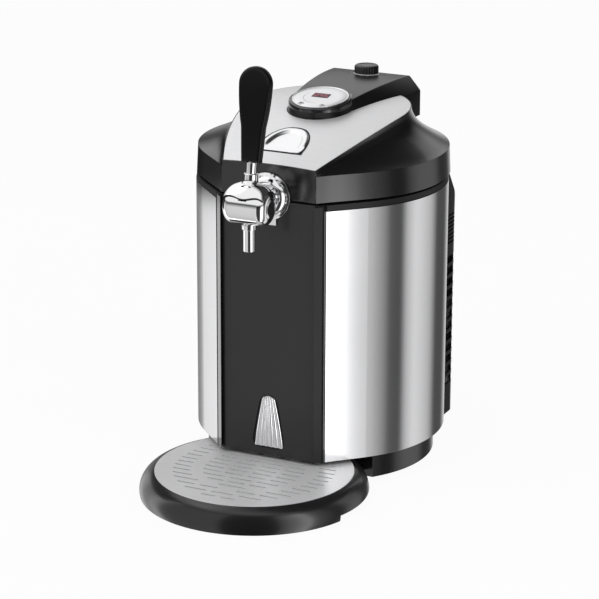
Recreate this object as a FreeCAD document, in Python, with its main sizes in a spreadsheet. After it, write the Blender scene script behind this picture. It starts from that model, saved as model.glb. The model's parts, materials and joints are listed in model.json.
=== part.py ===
"""Countertop mini keg beer dispenser, modelled as a parametric assembly.

Frame: millimetres, +Z up, the tap and the drip tray face -Y, and the axis of the
drum is the Z axis. The origin lies on the table under the middle of the drum.
Every size is a cell of the spreadsheet Size, and each sub-part is one labelled
object whose dimensions are bound to those cells.
"""
import FreeCAD
import Part
import math
import os
import re
import Sketcher
from FreeCAD import Placement, Rotation, Vector

doc = FreeCAD.newDocument("KegDispenser")
sheet = doc.addObject("Spreadsheet::Sheet", "Size")

SIZES = {
    # fits and clearances
    "running_gap": 0.05,        # radial play of a pin or spindle in its bore
    "seat_gap": 0.3,            # between curved skins and what they wrap
    "slide_gap": 0.5,           # round buttons and lift-off pieces
    # drum
    "drum_radius": 132,
    "steel_thick": 0.8,
    "shell_wall": 3,
    "steel_bottom": 28.9,
    "rim_top": 302,
    "rim_thick": 6,
    "front_inset": 2,           # the flat front face lies this far inside the drum's radius
    "front_half": 51.5,         # half width of the flat front face
    "bevel_width": 7.8,
    "panel_wall": 4,
    "panel_return": 3.6,        # length of the flange behind each bevel
    "steel_margin": 2.3,        # dark line of the inner drum between bevel and steel
    # base
    "base_inset": 11.1,         # the pedestal is this much slimmer than the drum
    "pedestal_setback": 54,     # flat front of the pedestal behind the drum's front face
    "base_wall": 4,
    "foot_radius": 9,
    "foot_proud": 1,
    "foot_depth": 3,
    "foot_side": 72,
    "foot_back": 66,
    "foot_front": 56,
    # well
    "well_radius": 83.5,
    "well_wall": 1.5,
    "floor_foam": 8.1,          # foam between the drum's floor and the well
    "well_lip": 7,
    # badge
    "badge_half": 16.5,
    "badge_bottom": 38,
    "badge_shoulder": 46,
    "badge_top": 93.5,
    "badge_thick": 3,
    "badge_recess": 2,
    "badge_margin": 1.6,
    # cooler stack behind the well
    "cooler_height": 150,
    "block_side": 40,
    "block_deep": 13,
    "module_thick": 4,
    "sink_half": 45,
    "sink_base": 5,
    "fin_depth": 17,
    "fin_thick": 1.6,
    "fin_pitch": 6,
    "fan_half": 40,
    "fan_thick": 15,
    "fan_bore": 37.5,
    "fan_tip_gap": 1.2,
    "fan_hub": 14,
    "fan_room": 5.5,            # air behind the fan, inside the rear cover
    "bay_half": 52,
    "bay_top": 235,
    "shell_opening": 76,        # half width of the opening behind the cover
    # power supply
    "board_thick": 1.6,
    "supply_margin": 8,
    "supply_lift": 4,
    "supply_post": 2,
    "supply_tall": 17,
    "supply_wide": 22,
    "supply_can": 4.5,
    # rear cover
    "cover_half": 97,
    "cover_stand": 15,          # rear cover behind the drum
    "cover_round": 18,
    "cover_wall": 2.5,
    "cover_bottom": 8,
    "slope_run": 10.5,
    "slope_drop": 64,           # lower end of the slope below the rim
    "slot_first": 42,
    "slot_tall": 8.4,
    "slot_pitch": 12.6,
    "slot_reach": 42,           # louvres run this far above the cooler's middle
    "vent_first": 203,
    "vent_tall": 2,
    "vent_pitch": 4.4,
    "inlet_half": 13.5,
    "inlet_tall": 20,
    "inlet_centre": 26,
    "inlet_deep": 14,
    "inlet_wall": 2,
    "inlet_flange": 4,
    "inlet_pin_side": 7,
    "inlet_pin_half": 1,
    "inlet_pin_set": 4,         # pins end this far inside the cover's back
    "screw_radius": 3.5,
    "screw_thick": 1.6,
    # tap
    "tap_over_seam": 2,         # axis of the shank above the lid's lower edge
    "flange_radius": 24.4,
    "flange_thick": 7,
    "shank_radius": 8,
    "shank_bore": 3.5,
    "barrel_reach": 44,         # tap barrel axis in front of the drum's face
    "barrel_radius": 18.5,
    "barrel_half": 23.5,
    "barrel_round": 8.5,
    "plug_radius": 8,
    "spout_radius": 6,
    "spout_bore": 4,
    "spout_drop": 45.6,
    "collar_radius": 7.4,
    "hood_radius": 22,
    "hood_skirt": 13.5,
    "hood_gap": 0.6,
    "neck_radius": 7.4,
    "neck_top": 33,
    "ferrule_radius": 5.6,
    "handle_bottom": 44,
    "handle_top": 139.5,
    "handle_foot_half": 10.4,
    "handle_wide_half": 17.4,
    "handle_thick": 10.5,
    "nut_width": 9,
    "shank_stop": 14,           # barrel axis to the shank's front end
    "coupler_radius": 14,
    "coupler_drop": 14,
    "coupler_spear": 22,
    "cap_radius": 10.6,
    "cap_thick": 1.6,
    "stem_radius": 4,
    "tap_travel": 40,           # degrees from closed to open
    "tap_lean": 7.5,            # rest angle of the handle, degrees back from upright
    # lid
    "seam_gap": 2.3,
    "lid_overhang": 2,
    "lid_bevel": 1,             # blunt corner between the lid's front and its shoulders
    "lid_draft": 1.6,           # the band's flanks lean in by this much towards its top
    "lid_wall": 3.5,
    "band_tall": 27.4,
    "crown_rise": 42,           # highest point of the domed top above the band
    "crown_back": 45,           # that point behind the drum's axis
    "crown_length_radius": 460,
    "crown_width_radius": 850,
    "flare_run": 46.5,          # lid band to the round back of the top plate
    "flare_power": 2.2,         # how concave the flare is
    "plate_round_back": 12,
    "plate_side_radius": 400,
    "plate_thick": 1.5,
    "plate_margin": 1.1,
    "liner_radius": 80,
    "liner_deep": 17.7,
    "liner_wall": 2.5,
    "seal_radius": 90,
    "seal_width": 4,
    # hinge
    "hinge_over_rim": 4,
    "knuckle_radius": 5,
    "pin_radius": 2.5,
    "knuckle_centre_half": 14,
    "knuckle_gap": 0.5,
    "knuckle_width": 10,
    # release button and latch
    "button_half": 26,
    "button_setback": 20.5,
    "button_deep": 47,
    "button_side": 37.5,        # length of the bowed sides, front to back
    "button_knee_half": 15.5,
    "button_thick": 7,
    "button_proud": 0.6,
    "button_stem": 4,
    "button_scoop": 3.2,        # deepest point of the finger rest
    "button_well_lift": 6.3,    # lower edge of the guide wall above the band
    "latch_pin": 2.5,
    "latch_setback": 24,
    "latch_drop": 3.7,          # latch pivot below the top of the band
    "latch_side": 34,
    "latch_width": 8,
    "latch_thick": 4,
    "latch_lug": 3,
    "latch_lever": 22,
    "latch_reach": 7.5,         # front of the keeper slots to the latch pivot
    "keeper_front": 4,          # pivot to the edge of the keeper's lip
    "keeper_back": 7,           # pivot to the back of the pocket under the lip
    "keeper_lip": 1.5,
    # control housing
    "housing_rise": 8.3,
    "housing_wall": 3,
    "nose_centre": 6.4,         # in front of the drum's axis
    "nose_radius": 34.5,
    "nose_top_radius": 31.6,
    "housing_setback": 8,       # back of the housing inside the lid band
    "housing_back_half": 57,
    "housing_top_half": 44.4,
    "housing_taper_tall": 14,
    "disc_radius": 29.9,
    "disc_thick": 1.4,
    "window_half": 9,
    "window_deep": 12,
    "key_radius": 3.2,
    "key_side": 12,
    "key_front": 22,
    "key_travel": 0.8,
    "knob_radius": 13,
    "knob_tall": 10,
    "knob_setback": 14,         # knob axis in front of the housing's back
    "knob_stem": 3,
    "knob_reach": 12,
    "regulator_tall": 36,
    "board_drop": 10,
    "key_stem": 1.4,
    "key_switch": 1,
    "lid_foam": 8,
    "regulator_radius": 10.7,
    "cartridge_radius": 12.5,
    "cartridge_length": 92,
    # drip tray
    "tray_reach": 33.5,         # tray centre in front of the drum's face
    "rim_arc_inset": 4.8,
    "rim_arc_height": 5,
    "rim_arc_radius": 20.4,
    "tray_wall": 2.5,
    "tray_floor": 3,
    "grid_radius": 102.3,
    "grid_thick": 1.2,
    "tray_ledge": 3.4,
    "skirt_lift": 6,
    "skirt_step": 34.5,         # the skirt is lifted behind this line
    "slot_row_pitch": 10.4,
    "slot_width": 2.2,
    "core_slots": 31,           # width of the ring between the edge and the core slots
    "ring_gap": 8,
    "grid_border": 16.4,
    "slot_longest": 28,
    "tray_foot_side": 62,
    "tray_foot_back": 18,
    "tray_foot_radius": 5,
    "grip_front": 15.3,
    "grip_half": 16,
    "grip_height": 12,
}

for row, (alias, size) in enumerate(SIZES.items(), start=1):
    sheet.set("A%d" % row, alias)
    sheet.set("B%d" % row, str(size))
    sheet.setAlias("B%d" % row, alias)
doc.recompute()

# Places and sizes that follow from the sheet, each written once.
DERIVED = {
    "front_depth": "drum_radius - front_inset",
    "bevel_half": "front_half + bevel_width",
    "bevel_depth": "drum_radius * sqrt(2) - bevel_half",
    "steel_top": "rim_top - rim_thick - seat_gap",
    "base_radius": "drum_radius - base_inset",
    "base_front": "front_depth - pedestal_setback",
    "floor_top": "steel_bottom + shell_wall",
    "well_floor": "floor_top + floor_foam",
    "foam_radius": "drum_radius - steel_thick - shell_wall - 4 * seat_gap",
    "cover_front": "sqrt(drum_radius^2 - cover_half^2)",
    "block_back": "well_radius + well_wall + block_deep",
    "fan_back": "block_back + module_thick + sink_base + fin_depth + fan_thick",
    "cover_back": "max(drum_radius + cover_stand; fan_back + fan_room + cover_wall)",
    "slope_start": "cover_front + slope_run",
    "slope_foot": "rim_top - slope_drop",
    "seam": "rim_top + seam_gap",
    "tap_height": "seam + tap_over_seam",
    "barrel_depth": "front_depth + barrel_reach",
    "spout_bottom": "tap_height - spout_drop",
    "lid_radius": "drum_radius + lid_overhang",
    "lid_shoulder": "(front_half + lid_bevel + front_depth) / sqrt(2)",
    "lid_taper": "(lid_radius - lid_shoulder) / (0.5 + sqrt(0.5) / 2)",
    "band_top": "seam + band_tall",
    "crown_top": "band_top + crown_rise",
    "plate_round": "lid_radius - flare_run",
    "liner_top": "seam + liner_deep",
    "hinge_depth": "lid_radius + knuckle_radius",
    "hinge_height": "rim_top + hinge_over_rim",
    "button_front": "front_depth - button_setback",
    "button_back": "button_front - button_deep",
    "button_knee": "button_front - button_side",
    "button_well": "band_top + button_well_lift",
    "latch_pivot_depth": "front_depth - latch_setback",
    "latch_pivot_height": "band_top - latch_drop",
    "housing_top": "crown_top + housing_rise",
    "housing_back": "lid_radius - housing_setback",
    "housing_shoulder": "housing_top - housing_taper_tall",
    "board_height": "housing_top - board_drop",
    "knob_back": "housing_back - knob_setback",
    "tray_depth": "front_depth + tray_reach",
    "rim_arc_centre": "grid_radius - rim_arc_inset",
    "grid_top": "rim_arc_height + sqrt(rim_arc_radius^2 - (rim_arc_inset + seat_gap)^2)",
    "slots_edge": "grid_radius - grid_border",
    "inner_slots": "slots_edge - core_slots",
    "outer_slots": "inner_slots + ring_gap",
}

NODES = []


def spelled(formula):
    """A formula with every derived name written out in sheet aliases."""
    def expand(match):
        word = match.group(0)
        return "(%s)" % spelled(DERIVED[word]) if word in DERIVED else word
    return re.sub(r"[a-z_]+", expand, str(formula))


def value(formula):
    """Number that a formula stands for."""
    return float(sheet.evalExpression(spelled(formula)))


def bound(formula):
    """The same formula, written for another object of the document."""
    def qualify(match):
        word = match.group(0)
        return "Size." + word if word in SIZES else word
    return re.sub(r"[a-z_]+", qualify, spelled(formula))


def node(item, label=None):
    """Mark an object as a finished sub-part."""
    if label:
        item.Label = label
    NODES.append(item)
    return item


def place(item, x=0, y=0, z=0, axis=(0, 0, 1), angle=0):
    """Put an object at formulas x, y, z, turned about an axis."""
    item.Placement = Placement(Vector(0, 0, 0), Rotation(Vector(*axis), 0))
    item.setExpression("Placement.Base.x", bound(x))
    item.setExpression("Placement.Base.y", bound(y))
    item.setExpression("Placement.Base.z", bound(z))
    turn = Rotation(Vector(*axis), value(angle))
    item.Placement = Placement(Vector(value(x), value(y), value(z)), turn)
    return item


# ---- sketches and features -------------------------------------------------

def new_body(label):
    body = doc.addObject("PartDesign::Body", label)
    body.Label = label
    return body


def new_sketch(body, name, role="XY_Plane", lift=0):
    """Sketch on one of the body's own planes, lifted along the plane's normal."""
    sketch = body.newObject("Sketcher::SketchObject", name)
    base = next(f for f in body.Origin.OriginFeatures if f.Role == role)
    sketch.AttachmentSupport = [(base, "")]
    sketch.MapMode = "FlatFace"
    sketch.setExpression("AttachmentOffset.Base.z", bound(lift))
    return sketch


def dimension(sketch, kind, args, formula):
    """Add a driving constraint and bind it to the sheet."""
    index = sketch.addConstraint(Sketcher.Constraint(kind, *args, value(formula)))
    sketch.setExpression("Constraints[%d]" % index, bound(formula))


def pin_point(sketch, geometry, end, x, y):
    """Hold a point at formulas x, y from the sketch origin."""
    for kind, formula, axis in (("DistanceX", x, -2), ("DistanceY", y, -1)):
        if str(formula) == "0":
            sketch.addConstraint(Sketcher.Constraint("PointOnObject", geometry, end, axis))
        else:
            dimension(sketch, kind, (-1, 1, geometry, end), formula)


def add_circle(sketch, x, y, radius):
    centre = Vector(value(x), value(y), 0)
    index = sketch.addGeometry(Part.Circle(centre, Vector(0, 0, 1), value(radius)))
    pin_point(sketch, index, 3, x, y)
    dimension(sketch, "Radius", (index,), radius)


def arc_crest(start, end, radius, side, large=False):
    """Middle of an arc from start to end that bulges left (side 1) or right (-1)."""
    chord = end - start
    half = chord.Length / 2
    normal = Vector(-chord.y, chord.x, 0).normalize() * side
    rise = math.sqrt(max(radius * radius - half * half, 0))
    centre = (start + end) / 2 - normal * (-rise if large else rise)
    return centre + normal * radius


def add_outline(sketch, points):
    """Closed outline. A point is (x, y), and (x, y, radius, side) starts an arc.

    A side of 2 or -2 asks for the larger of the two arcs.
    """
    count = len(points)
    first = None
    previous = None
    for i, point in enumerate(points):
        x, y = point[:2]
        following = points[(i + 1) % count]
        start = Vector(value(x), value(y), 0)
        end = Vector(value(following[0]), value(following[1]), 0)
        if len(point) == 2:
            index = sketch.addGeometry(Part.LineSegment(start, end))
            begins, ends = 1, 2
        else:
            side = 1 if point[3] > 0 else -1
            crest = arc_crest(start, end, value(point[2]), side, abs(point[3]) == 2)
            index = sketch.addGeometry(Part.Arc(start, crest, end))
            begins, ends = (1, 2) if side < 0 else (2, 1)
            dimension(sketch, "Radius", (index,), point[2])
        pin_point(sketch, index, begins, x, y)
        if previous is None:
            first = (index, begins)
        else:
            sketch.addConstraint(Sketcher.Constraint("Coincident", *previous, index, begins))
        previous = (index, ends)
    sketch.addConstraint(Sketcher.Constraint("Coincident", *previous, *first))


def add_box(sketch, left, right, bottom, top):
    add_outline(sketch, [(left, bottom), (right, bottom), (right, top), (left, top)])


def pad(body, sketch, length, midplane=False, downward=False):
    feature = body.newObject("PartDesign::Pad", sketch.Name + "Pad")
    feature.Profile = sketch
    feature.setExpression("Length", bound(length))
    feature.Midplane = midplane
    feature.Reversed = downward
    return feature


def pocket(body, sketch, length, midplane=False, upward=False):
    feature = body.newObject("PartDesign::Pocket", sketch.Name + "Pocket")
    feature.Profile = sketch
    feature.setExpression("Length", bound(length))
    feature.Midplane = midplane
    feature.Reversed = upward
    return feature


def spin(body, sketch, groove=False, axis="V_Axis"):
    """Full turn of a profile about an axis of its sketch."""
    kind = "PartDesign::Groove" if groove else "PartDesign::Revolution"
    feature = body.newObject(kind, sketch.Name + "Turn")
    feature.Profile = sketch
    feature.ReferenceAxis = (sketch, [axis])
    feature.Angle = 360
    return feature


def pattern_line(body, feature, role, length, count, backward=False):
    """Repeat a feature along one of the body's own axes."""
    pattern = body.newObject("PartDesign::LinearPattern", feature.Name + "Row")
    pattern.Originals = [feature]
    axis = next(f for f in body.Origin.OriginFeatures if f.Role == role)
    pattern.Direction = (axis, [""])
    pattern.Reversed = backward
    pattern.setExpression("Length", bound(length))
    pattern.Occurrences = count
    body.Tip = pattern
    return pattern


def pattern_ring(body, feature, count, role="Z_Axis"):
    pattern = body.newObject("PartDesign::PolarPattern", feature.Name + "Ring")
    pattern.Originals = [feature]
    axis = next(f for f in body.Origin.OriginFeatures if f.Role == role)
    pattern.Axis = (axis, [""])
    pattern.Angle = 360
    pattern.Occurrences = count
    body.Tip = pattern
    return pattern


def edges_where(shape, test):
    """Names of the edges whose middle point passes a test."""
    names = []
    for number, edge in enumerate(shape.Edges, start=1):
        middle = edge.valueAt((edge.FirstParameter + edge.LastParameter) / 2)
        if test(middle, edge):
            names.append("Edge%d" % number)
    return names


def round_edges(body, radius, test, kind="Fillet"):
    """Fillet or chamfer the chosen edges of the body's last feature."""
    doc.recompute()
    last = body.Tip
    feature = body.newObject("PartDesign::" + kind, body.Name + kind)
    feature.Base = (last, edges_where(last.Shape, test))
    feature.setExpression("Radius" if kind == "Fillet" else "Size", bound(radius))
    return feature


# ---- primitives and booleans -------------------------------------------------

AXES = {"z": ((0, 0, 1), 0), "y": ((1, 0, 0), -90), "x": ((0, 1, 0), 90)}


def cylinder(name, radius, length, x=0, y=0, z=0, along="z"):
    item = doc.addObject("Part::Cylinder", name)
    item.setExpression("Radius", bound(radius))
    item.setExpression("Height", bound(length))
    axis, angle = AXES[along]
    return place(item, x, y, z, axis, angle)


def box(name, x_low, x_high, y_low, y_high, z_low, z_high):
    item = doc.addObject("Part::Box", name)
    item.setExpression("Length", bound("(%s) - (%s)" % (x_high, x_low)))
    item.setExpression("Width", bound("(%s) - (%s)" % (y_high, y_low)))
    item.setExpression("Height", bound("(%s) - (%s)" % (z_high, z_low)))
    return place(item, x_low, y_low, z_low)


def fuse(name, items):
    item = doc.addObject("Part::MultiFuse", name)
    item.Shapes = items
    return item


def cut(name, base, tools):
    item = doc.addObject("Part::Cut", name)
    item.Base = base
    item.Tool = tools[0] if len(tools) == 1 else fuse(name + "_tools", tools)
    return item


def group(name, items):
    item = doc.addObject("Part::Compound", name)
    item.Links = items
    return item


def solid(name, shape):
    """Sub-part whose form is worked out in code from the sheet's sizes."""
    item = doc.addObject("Part::Feature", name)
    item.Shape = shape
    return item


# ---- base --------------------------------------------------------------------

FEET = [(side + "foot_side", depth) for depth in ("foot_back", "-foot_front")
        for side in ("", "-")]


def chord_outline(sketch, radius, front):
    """Circle about the drum's axis, cut off flat at the front."""
    reach = "sqrt((%s)^2 - (%s)^2)" % (radius, front)
    left, right = "-(%s)" % reach, reach
    back = "-(%s)" % front
    add_outline(sketch, [(left, back), (right, back, radius, -2)])


def drum_outline(sketch, radius, front):
    """Circle with a straight shoulder at 45 degrees on each side of a flat front."""
    knee = "(%s) / sqrt(2)" % radius
    half = "(%s) * sqrt(2) - (%s)" % (radius, front)
    add_outline(sketch, [("-(%s)" % half, "-(%s)" % front), (half, "-(%s)" % front),
                         (knee, "-" + knee, radius, -2), ("-" + knee, "-" + knee)])


def make_pedestal():
    body = new_body("base_pedestal")
    outer = new_sketch(body, "pedestal_outline", lift="foot_proud")
    chord_outline(outer, "base_radius", "base_front")
    pad(body, outer, "steel_bottom - foot_proud")
    inner = new_sketch(body, "pedestal_hollow", lift="foot_proud")
    chord_outline(inner, "base_radius - base_wall", "base_front - base_wall")
    pocket(body, inner, "steel_bottom - foot_proud - base_wall", upward=True)
    bosses = new_sketch(body, "foot_bosses", lift="foot_proud")
    for x, y in FEET:
        add_circle(bosses, x, y, "foot_radius + base_wall")
    pad(body, bosses, "steel_bottom - foot_proud - base_wall / 2")
    sockets = new_sketch(body, "foot_sockets", lift="foot_proud")
    for x, y in FEET:
        add_circle(sockets, x, y, "foot_radius + seat_gap")
    pocket(body, sockets, "foot_depth", upward=True)
    node(body)


def make_feet():
    feet = [cylinder("rubber_foot_%d" % i, "foot_radius", "foot_proud + foot_depth", x, y)
            for i, (x, y) in enumerate(FEET, start=1)]
    node(group("rubber_feet", feet))


# ---- drum --------------------------------------------------------------------

def make_shell():
    """Inner drum of black plastic that the steel panels wrap round."""
    outer = "drum_radius - steel_thick - seat_gap"
    inner = "drum_radius - steel_thick - seat_gap - shell_wall"
    body = new_body("body_shell")
    front = "front_depth - panel_wall - seat_gap"
    floor = new_sketch(body, "shell_floor", lift="steel_bottom")
    drum_outline(floor, outer, front)
    pad(body, floor, "shell_wall")
    wall = new_sketch(body, "shell_wall_ring", lift="steel_bottom")
    drum_outline(wall, outer, front)
    drum_outline(wall, inner, front + " - shell_wall")
    pad(body, wall, "rim_top - rim_thick - steel_bottom")
    mouth = new_sketch(body, "front_opening", lift="floor_top")
    add_box(mouth, "-bevel_half - seat_gap", "bevel_half + seat_gap", "-drum_radius", "-base_front")
    pocket(body, mouth, "drum_radius * 3", upward=True)
    toe = new_sketch(body, "floor_front", lift="steel_bottom")
    add_box(toe, "-bevel_half - seat_gap", "bevel_half + seat_gap", "-drum_radius",
            "-bevel_depth + panel_return + seat_gap")
    pocket(body, toe, "drum_radius * 3", upward=True)
    back = new_sketch(body, "cooler_opening", lift="floor_top")
    add_box(back, "-shell_opening", "shell_opening", 0, "drum_radius")
    pocket(body, back, "bay_top - steel_bottom - shell_wall", upward=True)
    node(body)


def make_steel(label, side):
    """Brushed steel skin over one flank of the drum."""
    outer = "drum_radius"
    inner = "drum_radius - steel_thick"
    front_x = "bevel_half + steel_margin"
    back_x = "cover_half - cover_wall - seat_gap"
    body = new_body(label)
    sketch = new_sketch(body, label + "_section", lift="steel_bottom")

    def behind(radius):
        return ("%s(%s)" % (side, back_x), "sqrt((%s)^2 - (%s)^2)" % (radius, back_x))

    def knee(radius):
        return ("%s(%s) / sqrt(2)" % (side, radius), "-(%s) / sqrt(2)" % radius)

    def edge(radius):
        return ("%s(%s)" % (side, front_x), "%s - (%s) * sqrt(2)" % (front_x, radius))
    turn = 1 if side == "-" else -1
    add_outline(sketch, [edge(outer), knee(outer) + (outer, turn), behind(outer),
                         behind(inner) + (inner, -turn), knee(inner), edge(inner)])
    pad(body, sketch, "steel_top - steel_bottom")
    node(body)


def panel_section(sketch, wall):
    """U of the front panel: flat face, a bevel each side and a short return flange."""
    face = "-front_depth"
    edge = "-bevel_depth"
    tail = edge + " + panel_return"
    right = [("front_half", face), ("bevel_half", edge), ("bevel_half", tail)]
    if wall:
        inner = [("bevel_half - panel_wall", tail),
                 ("front_half - panel_wall", "-front_depth + panel_wall")]
        right += inner
    left = [("-(%s)" % x, y) for x, y in reversed(right)]
    add_outline(sketch, right + left)


def make_front_panel():
    body = new_body("front_panel")
    section = new_sketch(body, "panel_section", lift="steel_bottom - seat_gap")
    panel_section(section, True)
    pad(body, section, "rim_top - steel_bottom + seat_gap")
    shelf = new_sketch(body, "panel_top_shelf", lift="rim_top - panel_wall")
    panel_section(shelf, False)
    pad(body, shelf, "panel_wall")
    sill = new_sketch(body, "panel_bottom_sill", lift="steel_bottom - seat_gap")
    panel_section(sill, False)
    pad(body, sill, "shell_wall")
    recess = new_sketch(body, "badge_recess_outline", "XZ_Plane", "front_depth - badge_recess")
    badge_outline(recess, "badge_margin")
    pocket(body, recess, "badge_recess * 2", upward=True)
    cradle = new_sketch(body, "tap_cradle", "XZ_Plane", 0)
    add_circle(cradle, 0, "tap_height", "shank_radius + slide_gap")
    pocket(body, cradle, "drum_radius * 2", upward=True)
    node(body)


def badge_outline(sketch, margin):
    """Tall arch that widens downwards to rounded corners."""
    half = "badge_half + %s" % margin
    neck = "badge_half * 0.55 + %s" % margin
    top = "badge_top + %s" % margin
    neck_z = "badge_top - badge_half * 0.5"
    foot = "badge_bottom - %s" % margin
    foot_half = "badge_half * 0.72 + %s" % margin
    add_outline(sketch, [
        ("-(%s)" % foot_half, foot),
        (foot_half, foot, "badge_half * 0.62 + %s" % margin, -1),
        (half, "badge_shoulder"),
        (neck, neck_z, "badge_half * 0.7 + %s" % margin, -1),
        (0, top, "badge_half * 0.7 + %s" % margin, -1),
        ("-(%s)" % neck, neck_z),
        ("-(%s)" % half, "badge_shoulder", "badge_half * 0.62 + %s" % margin, -1)])


def make_badge():
    body = new_body("front_badge")
    outline = new_sketch(body, "badge_plate", "XZ_Plane", "front_depth - badge_recess")
    badge_outline(outline, "0")
    pad(body, outline, "badge_thick")
    flute = new_sketch(body, "badge_flute", "XZ_Plane",
                       "front_depth - badge_recess + badge_thick - badge_thick / 3")
    pitch = "badge_half * 0.34"
    add_box(flute, "-badge_half * 1.42", "-badge_half * 1.42 + %s * 0.35" % pitch,
            "badge_bottom - badge_half", "badge_top + badge_half")
    first = pocket(body, flute, "badge_thick", upward=True)
    pattern_line(body, first, "X_Axis", "badge_half * 2.72", 9)
    node(body)


def make_rim():
    """Moulded ring that closes the top of the insulated wall."""
    disc = new_body("rim_disc")
    plan = new_sketch(disc, "rim_plan", lift="rim_top - rim_thick")
    drum_outline(plan, "drum_radius - seat_gap - steel_thick / 2", "bevel_depth - panel_return")
    pad(disc, plan, "rim_thick")
    well = cylinder("rim_well", "well_radius + well_wall + seat_gap", "rim_thick * 3",
                    z="rim_top - rim_thick * 2")
    edge = "-bevel_depth + panel_return + seat_gap"
    front = box("rim_front", "-bevel_half - seat_gap", "bevel_half + seat_gap",
                "-drum_radius * 2", edge, "rim_top - rim_thick * 2", "rim_top + rim_thick")
    tools = [well, front, shank_clearance("rim_cradle", 0)]
    for side in ("", "-"):
        tag = "left" if side else "right"
        x_low = "%slatch_side - latch_width / 2 - slide_gap" % side
        x_high = "%slatch_side + latch_width / 2 + slide_gap" % side
        tools.append(box("keeper_mouth_" + tag, x_low, x_high,
                         "-latch_pivot_depth - latch_reach", "-latch_pivot_depth + keeper_front",
                         "rim_top - rim_thick - 1", "rim_top + 1"))
        tools.append(box("keeper_pocket_" + tag, x_low, x_high,
                         "-latch_pivot_depth - latch_reach", "-latch_pivot_depth + keeper_back",
                         "rim_top - rim_thick - 1", "rim_top - keeper_lip"))
    ring = cut("rim_ring", disc, tools)
    ears = []
    for side, x_low in (("right", "knuckle_centre_half + knuckle_gap"),
                        ("left", "-knuckle_centre_half - knuckle_gap - knuckle_width")):
        x_high = "%s + knuckle_width" % x_low
        arm = box("rim_ear_arm_" + side, x_low, x_high, "drum_radius - seat_gap * 20",
                  "hinge_depth", "rim_top - rim_thick + 1", "rim_top")
        arm_up = box("rim_ear_post_" + side, x_low, x_high, "hinge_depth - knuckle_radius",
                     "hinge_depth + knuckle_radius", "rim_top - rim_thick + 1", "hinge_height")
        barrel = cylinder("rim_knuckle_" + side, "knuckle_radius", "knuckle_width",
                          x_low, "hinge_depth", "hinge_height", "x")
        ears += [arm, arm_up, barrel]
    whole = fuse("rim_with_ears", [ring] + ears)
    bore = cylinder("rim_pin_bore", "pin_radius + running_gap", "knuckle_centre_half * 8",
                    "-knuckle_centre_half * 4", "hinge_depth", "hinge_height", "x")
    node(cut("body_rim", whole, [bore]))


def shank_clearance(name, back):
    """Round channel along Y that the tap shank passes through."""
    return cylinder(name, "shank_radius + slide_gap", "(%s) + front_depth * 2" % back,
                    0, "-front_depth * 2", "tap_height", "y")


# ---- well, foam and cooler -----------------------------------------------------

def make_well():
    body = new_body("keg_well")
    profile = new_sketch(body, "well_profile", "XZ_Plane")
    outer = "well_radius + well_wall"
    add_outline(profile, [(0, "well_floor"), (outer, "well_floor"), (outer, "rim_top"),
                          (outer + " + well_lip", "rim_top"),
                          (outer + " + well_lip", "rim_top + well_wall / 1.5"),
                          ("well_radius", "rim_top + well_wall / 1.5"),
                          ("well_radius", "well_floor + well_wall"),
                          (0, "well_floor + well_wall")])
    spin(body, profile)
    cradle = new_sketch(body, "well_cradle", "XZ_Plane")
    add_circle(cradle, 0, "tap_height", "shank_radius + slide_gap")
    pocket(body, cradle, "drum_radius", upward=True)
    node(body)


def make_foam():
    outer = cylinder("foam_block", "foam_radius",
                     "steel_top - floor_top",
                     z="floor_top")
    well = cylinder("foam_well", "well_radius + well_wall + seat_gap", "drum_radius * 4",
                    z="well_floor - seat_gap")
    bay = box("foam_bay", "-bay_half", "bay_half", "well_radius - well_wall", "drum_radius * 2",
              "floor_top", "bay_top")
    front = box("foam_front", "-bevel_half", "bevel_half", "-drum_radius * 2",
                "-(front_depth - panel_wall - seat_gap)", 0, "drum_radius * 4")
    flange = box("foam_flange", "-bevel_half * 2", "bevel_half * 2", "-drum_radius * 2",
                 "-bevel_depth + panel_return + seat_gap",
                 0, "drum_radius * 4")
    slab = box("foam_middle", "-(front_half - panel_wall - seat_gap)",
               "front_half - panel_wall - seat_gap", "-drum_radius * 2", 0, 0, "drum_radius * 4")
    side_cut = cut("foam_side_cut", flange, [slab])
    node(cut("insulation", outer, [well, bay, front, side_cut]))


def make_cold_block():
    blank = box("block_blank", "-block_side / 2", "block_side / 2", "well_radius / 2",
                "block_back", "cooler_height - block_side / 2", "cooler_height + block_side / 2")
    saddle = cylinder("block_saddle", "well_radius + well_wall + running_gap * 2",
                      "drum_radius * 3")
    node(cut("cold_block", blank, [saddle]))
    side = "block_side / 2"
    node(box("peltier_module", "-" + side, side, "block_back", "block_back + module_thick",
             "cooler_height - " + side, "cooler_height + " + side))


def make_heat_sink():
    face = "block_back + module_thick"
    body = new_body("heat_sink")
    base = new_sketch(body, "sink_plate", "XZ_Plane", "-(%s)" % face)
    add_box(base, "-sink_half", "sink_half", "cooler_height - sink_half * 1.1",
            "cooler_height + sink_half * 1.1")
    pad(body, base, "sink_base", downward=True)
    fin = new_sketch(body, "sink_fin", "XZ_Plane", "-(%s)" % face)
    add_box(fin, "-sink_half", "-sink_half + fin_thick", "cooler_height - sink_half * 1.1",
            "cooler_height + sink_half * 1.1")
    blade = pad(body, fin, "sink_base + fin_depth", downward=True)
    count = int(value("(2 * sink_half - fin_thick) / fin_pitch")) + 1
    pattern_line(body, blade, "X_Axis", "2 * sink_half - fin_thick", count)
    node(body)


FAN_FRONT = "fan_back - fan_thick"


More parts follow.
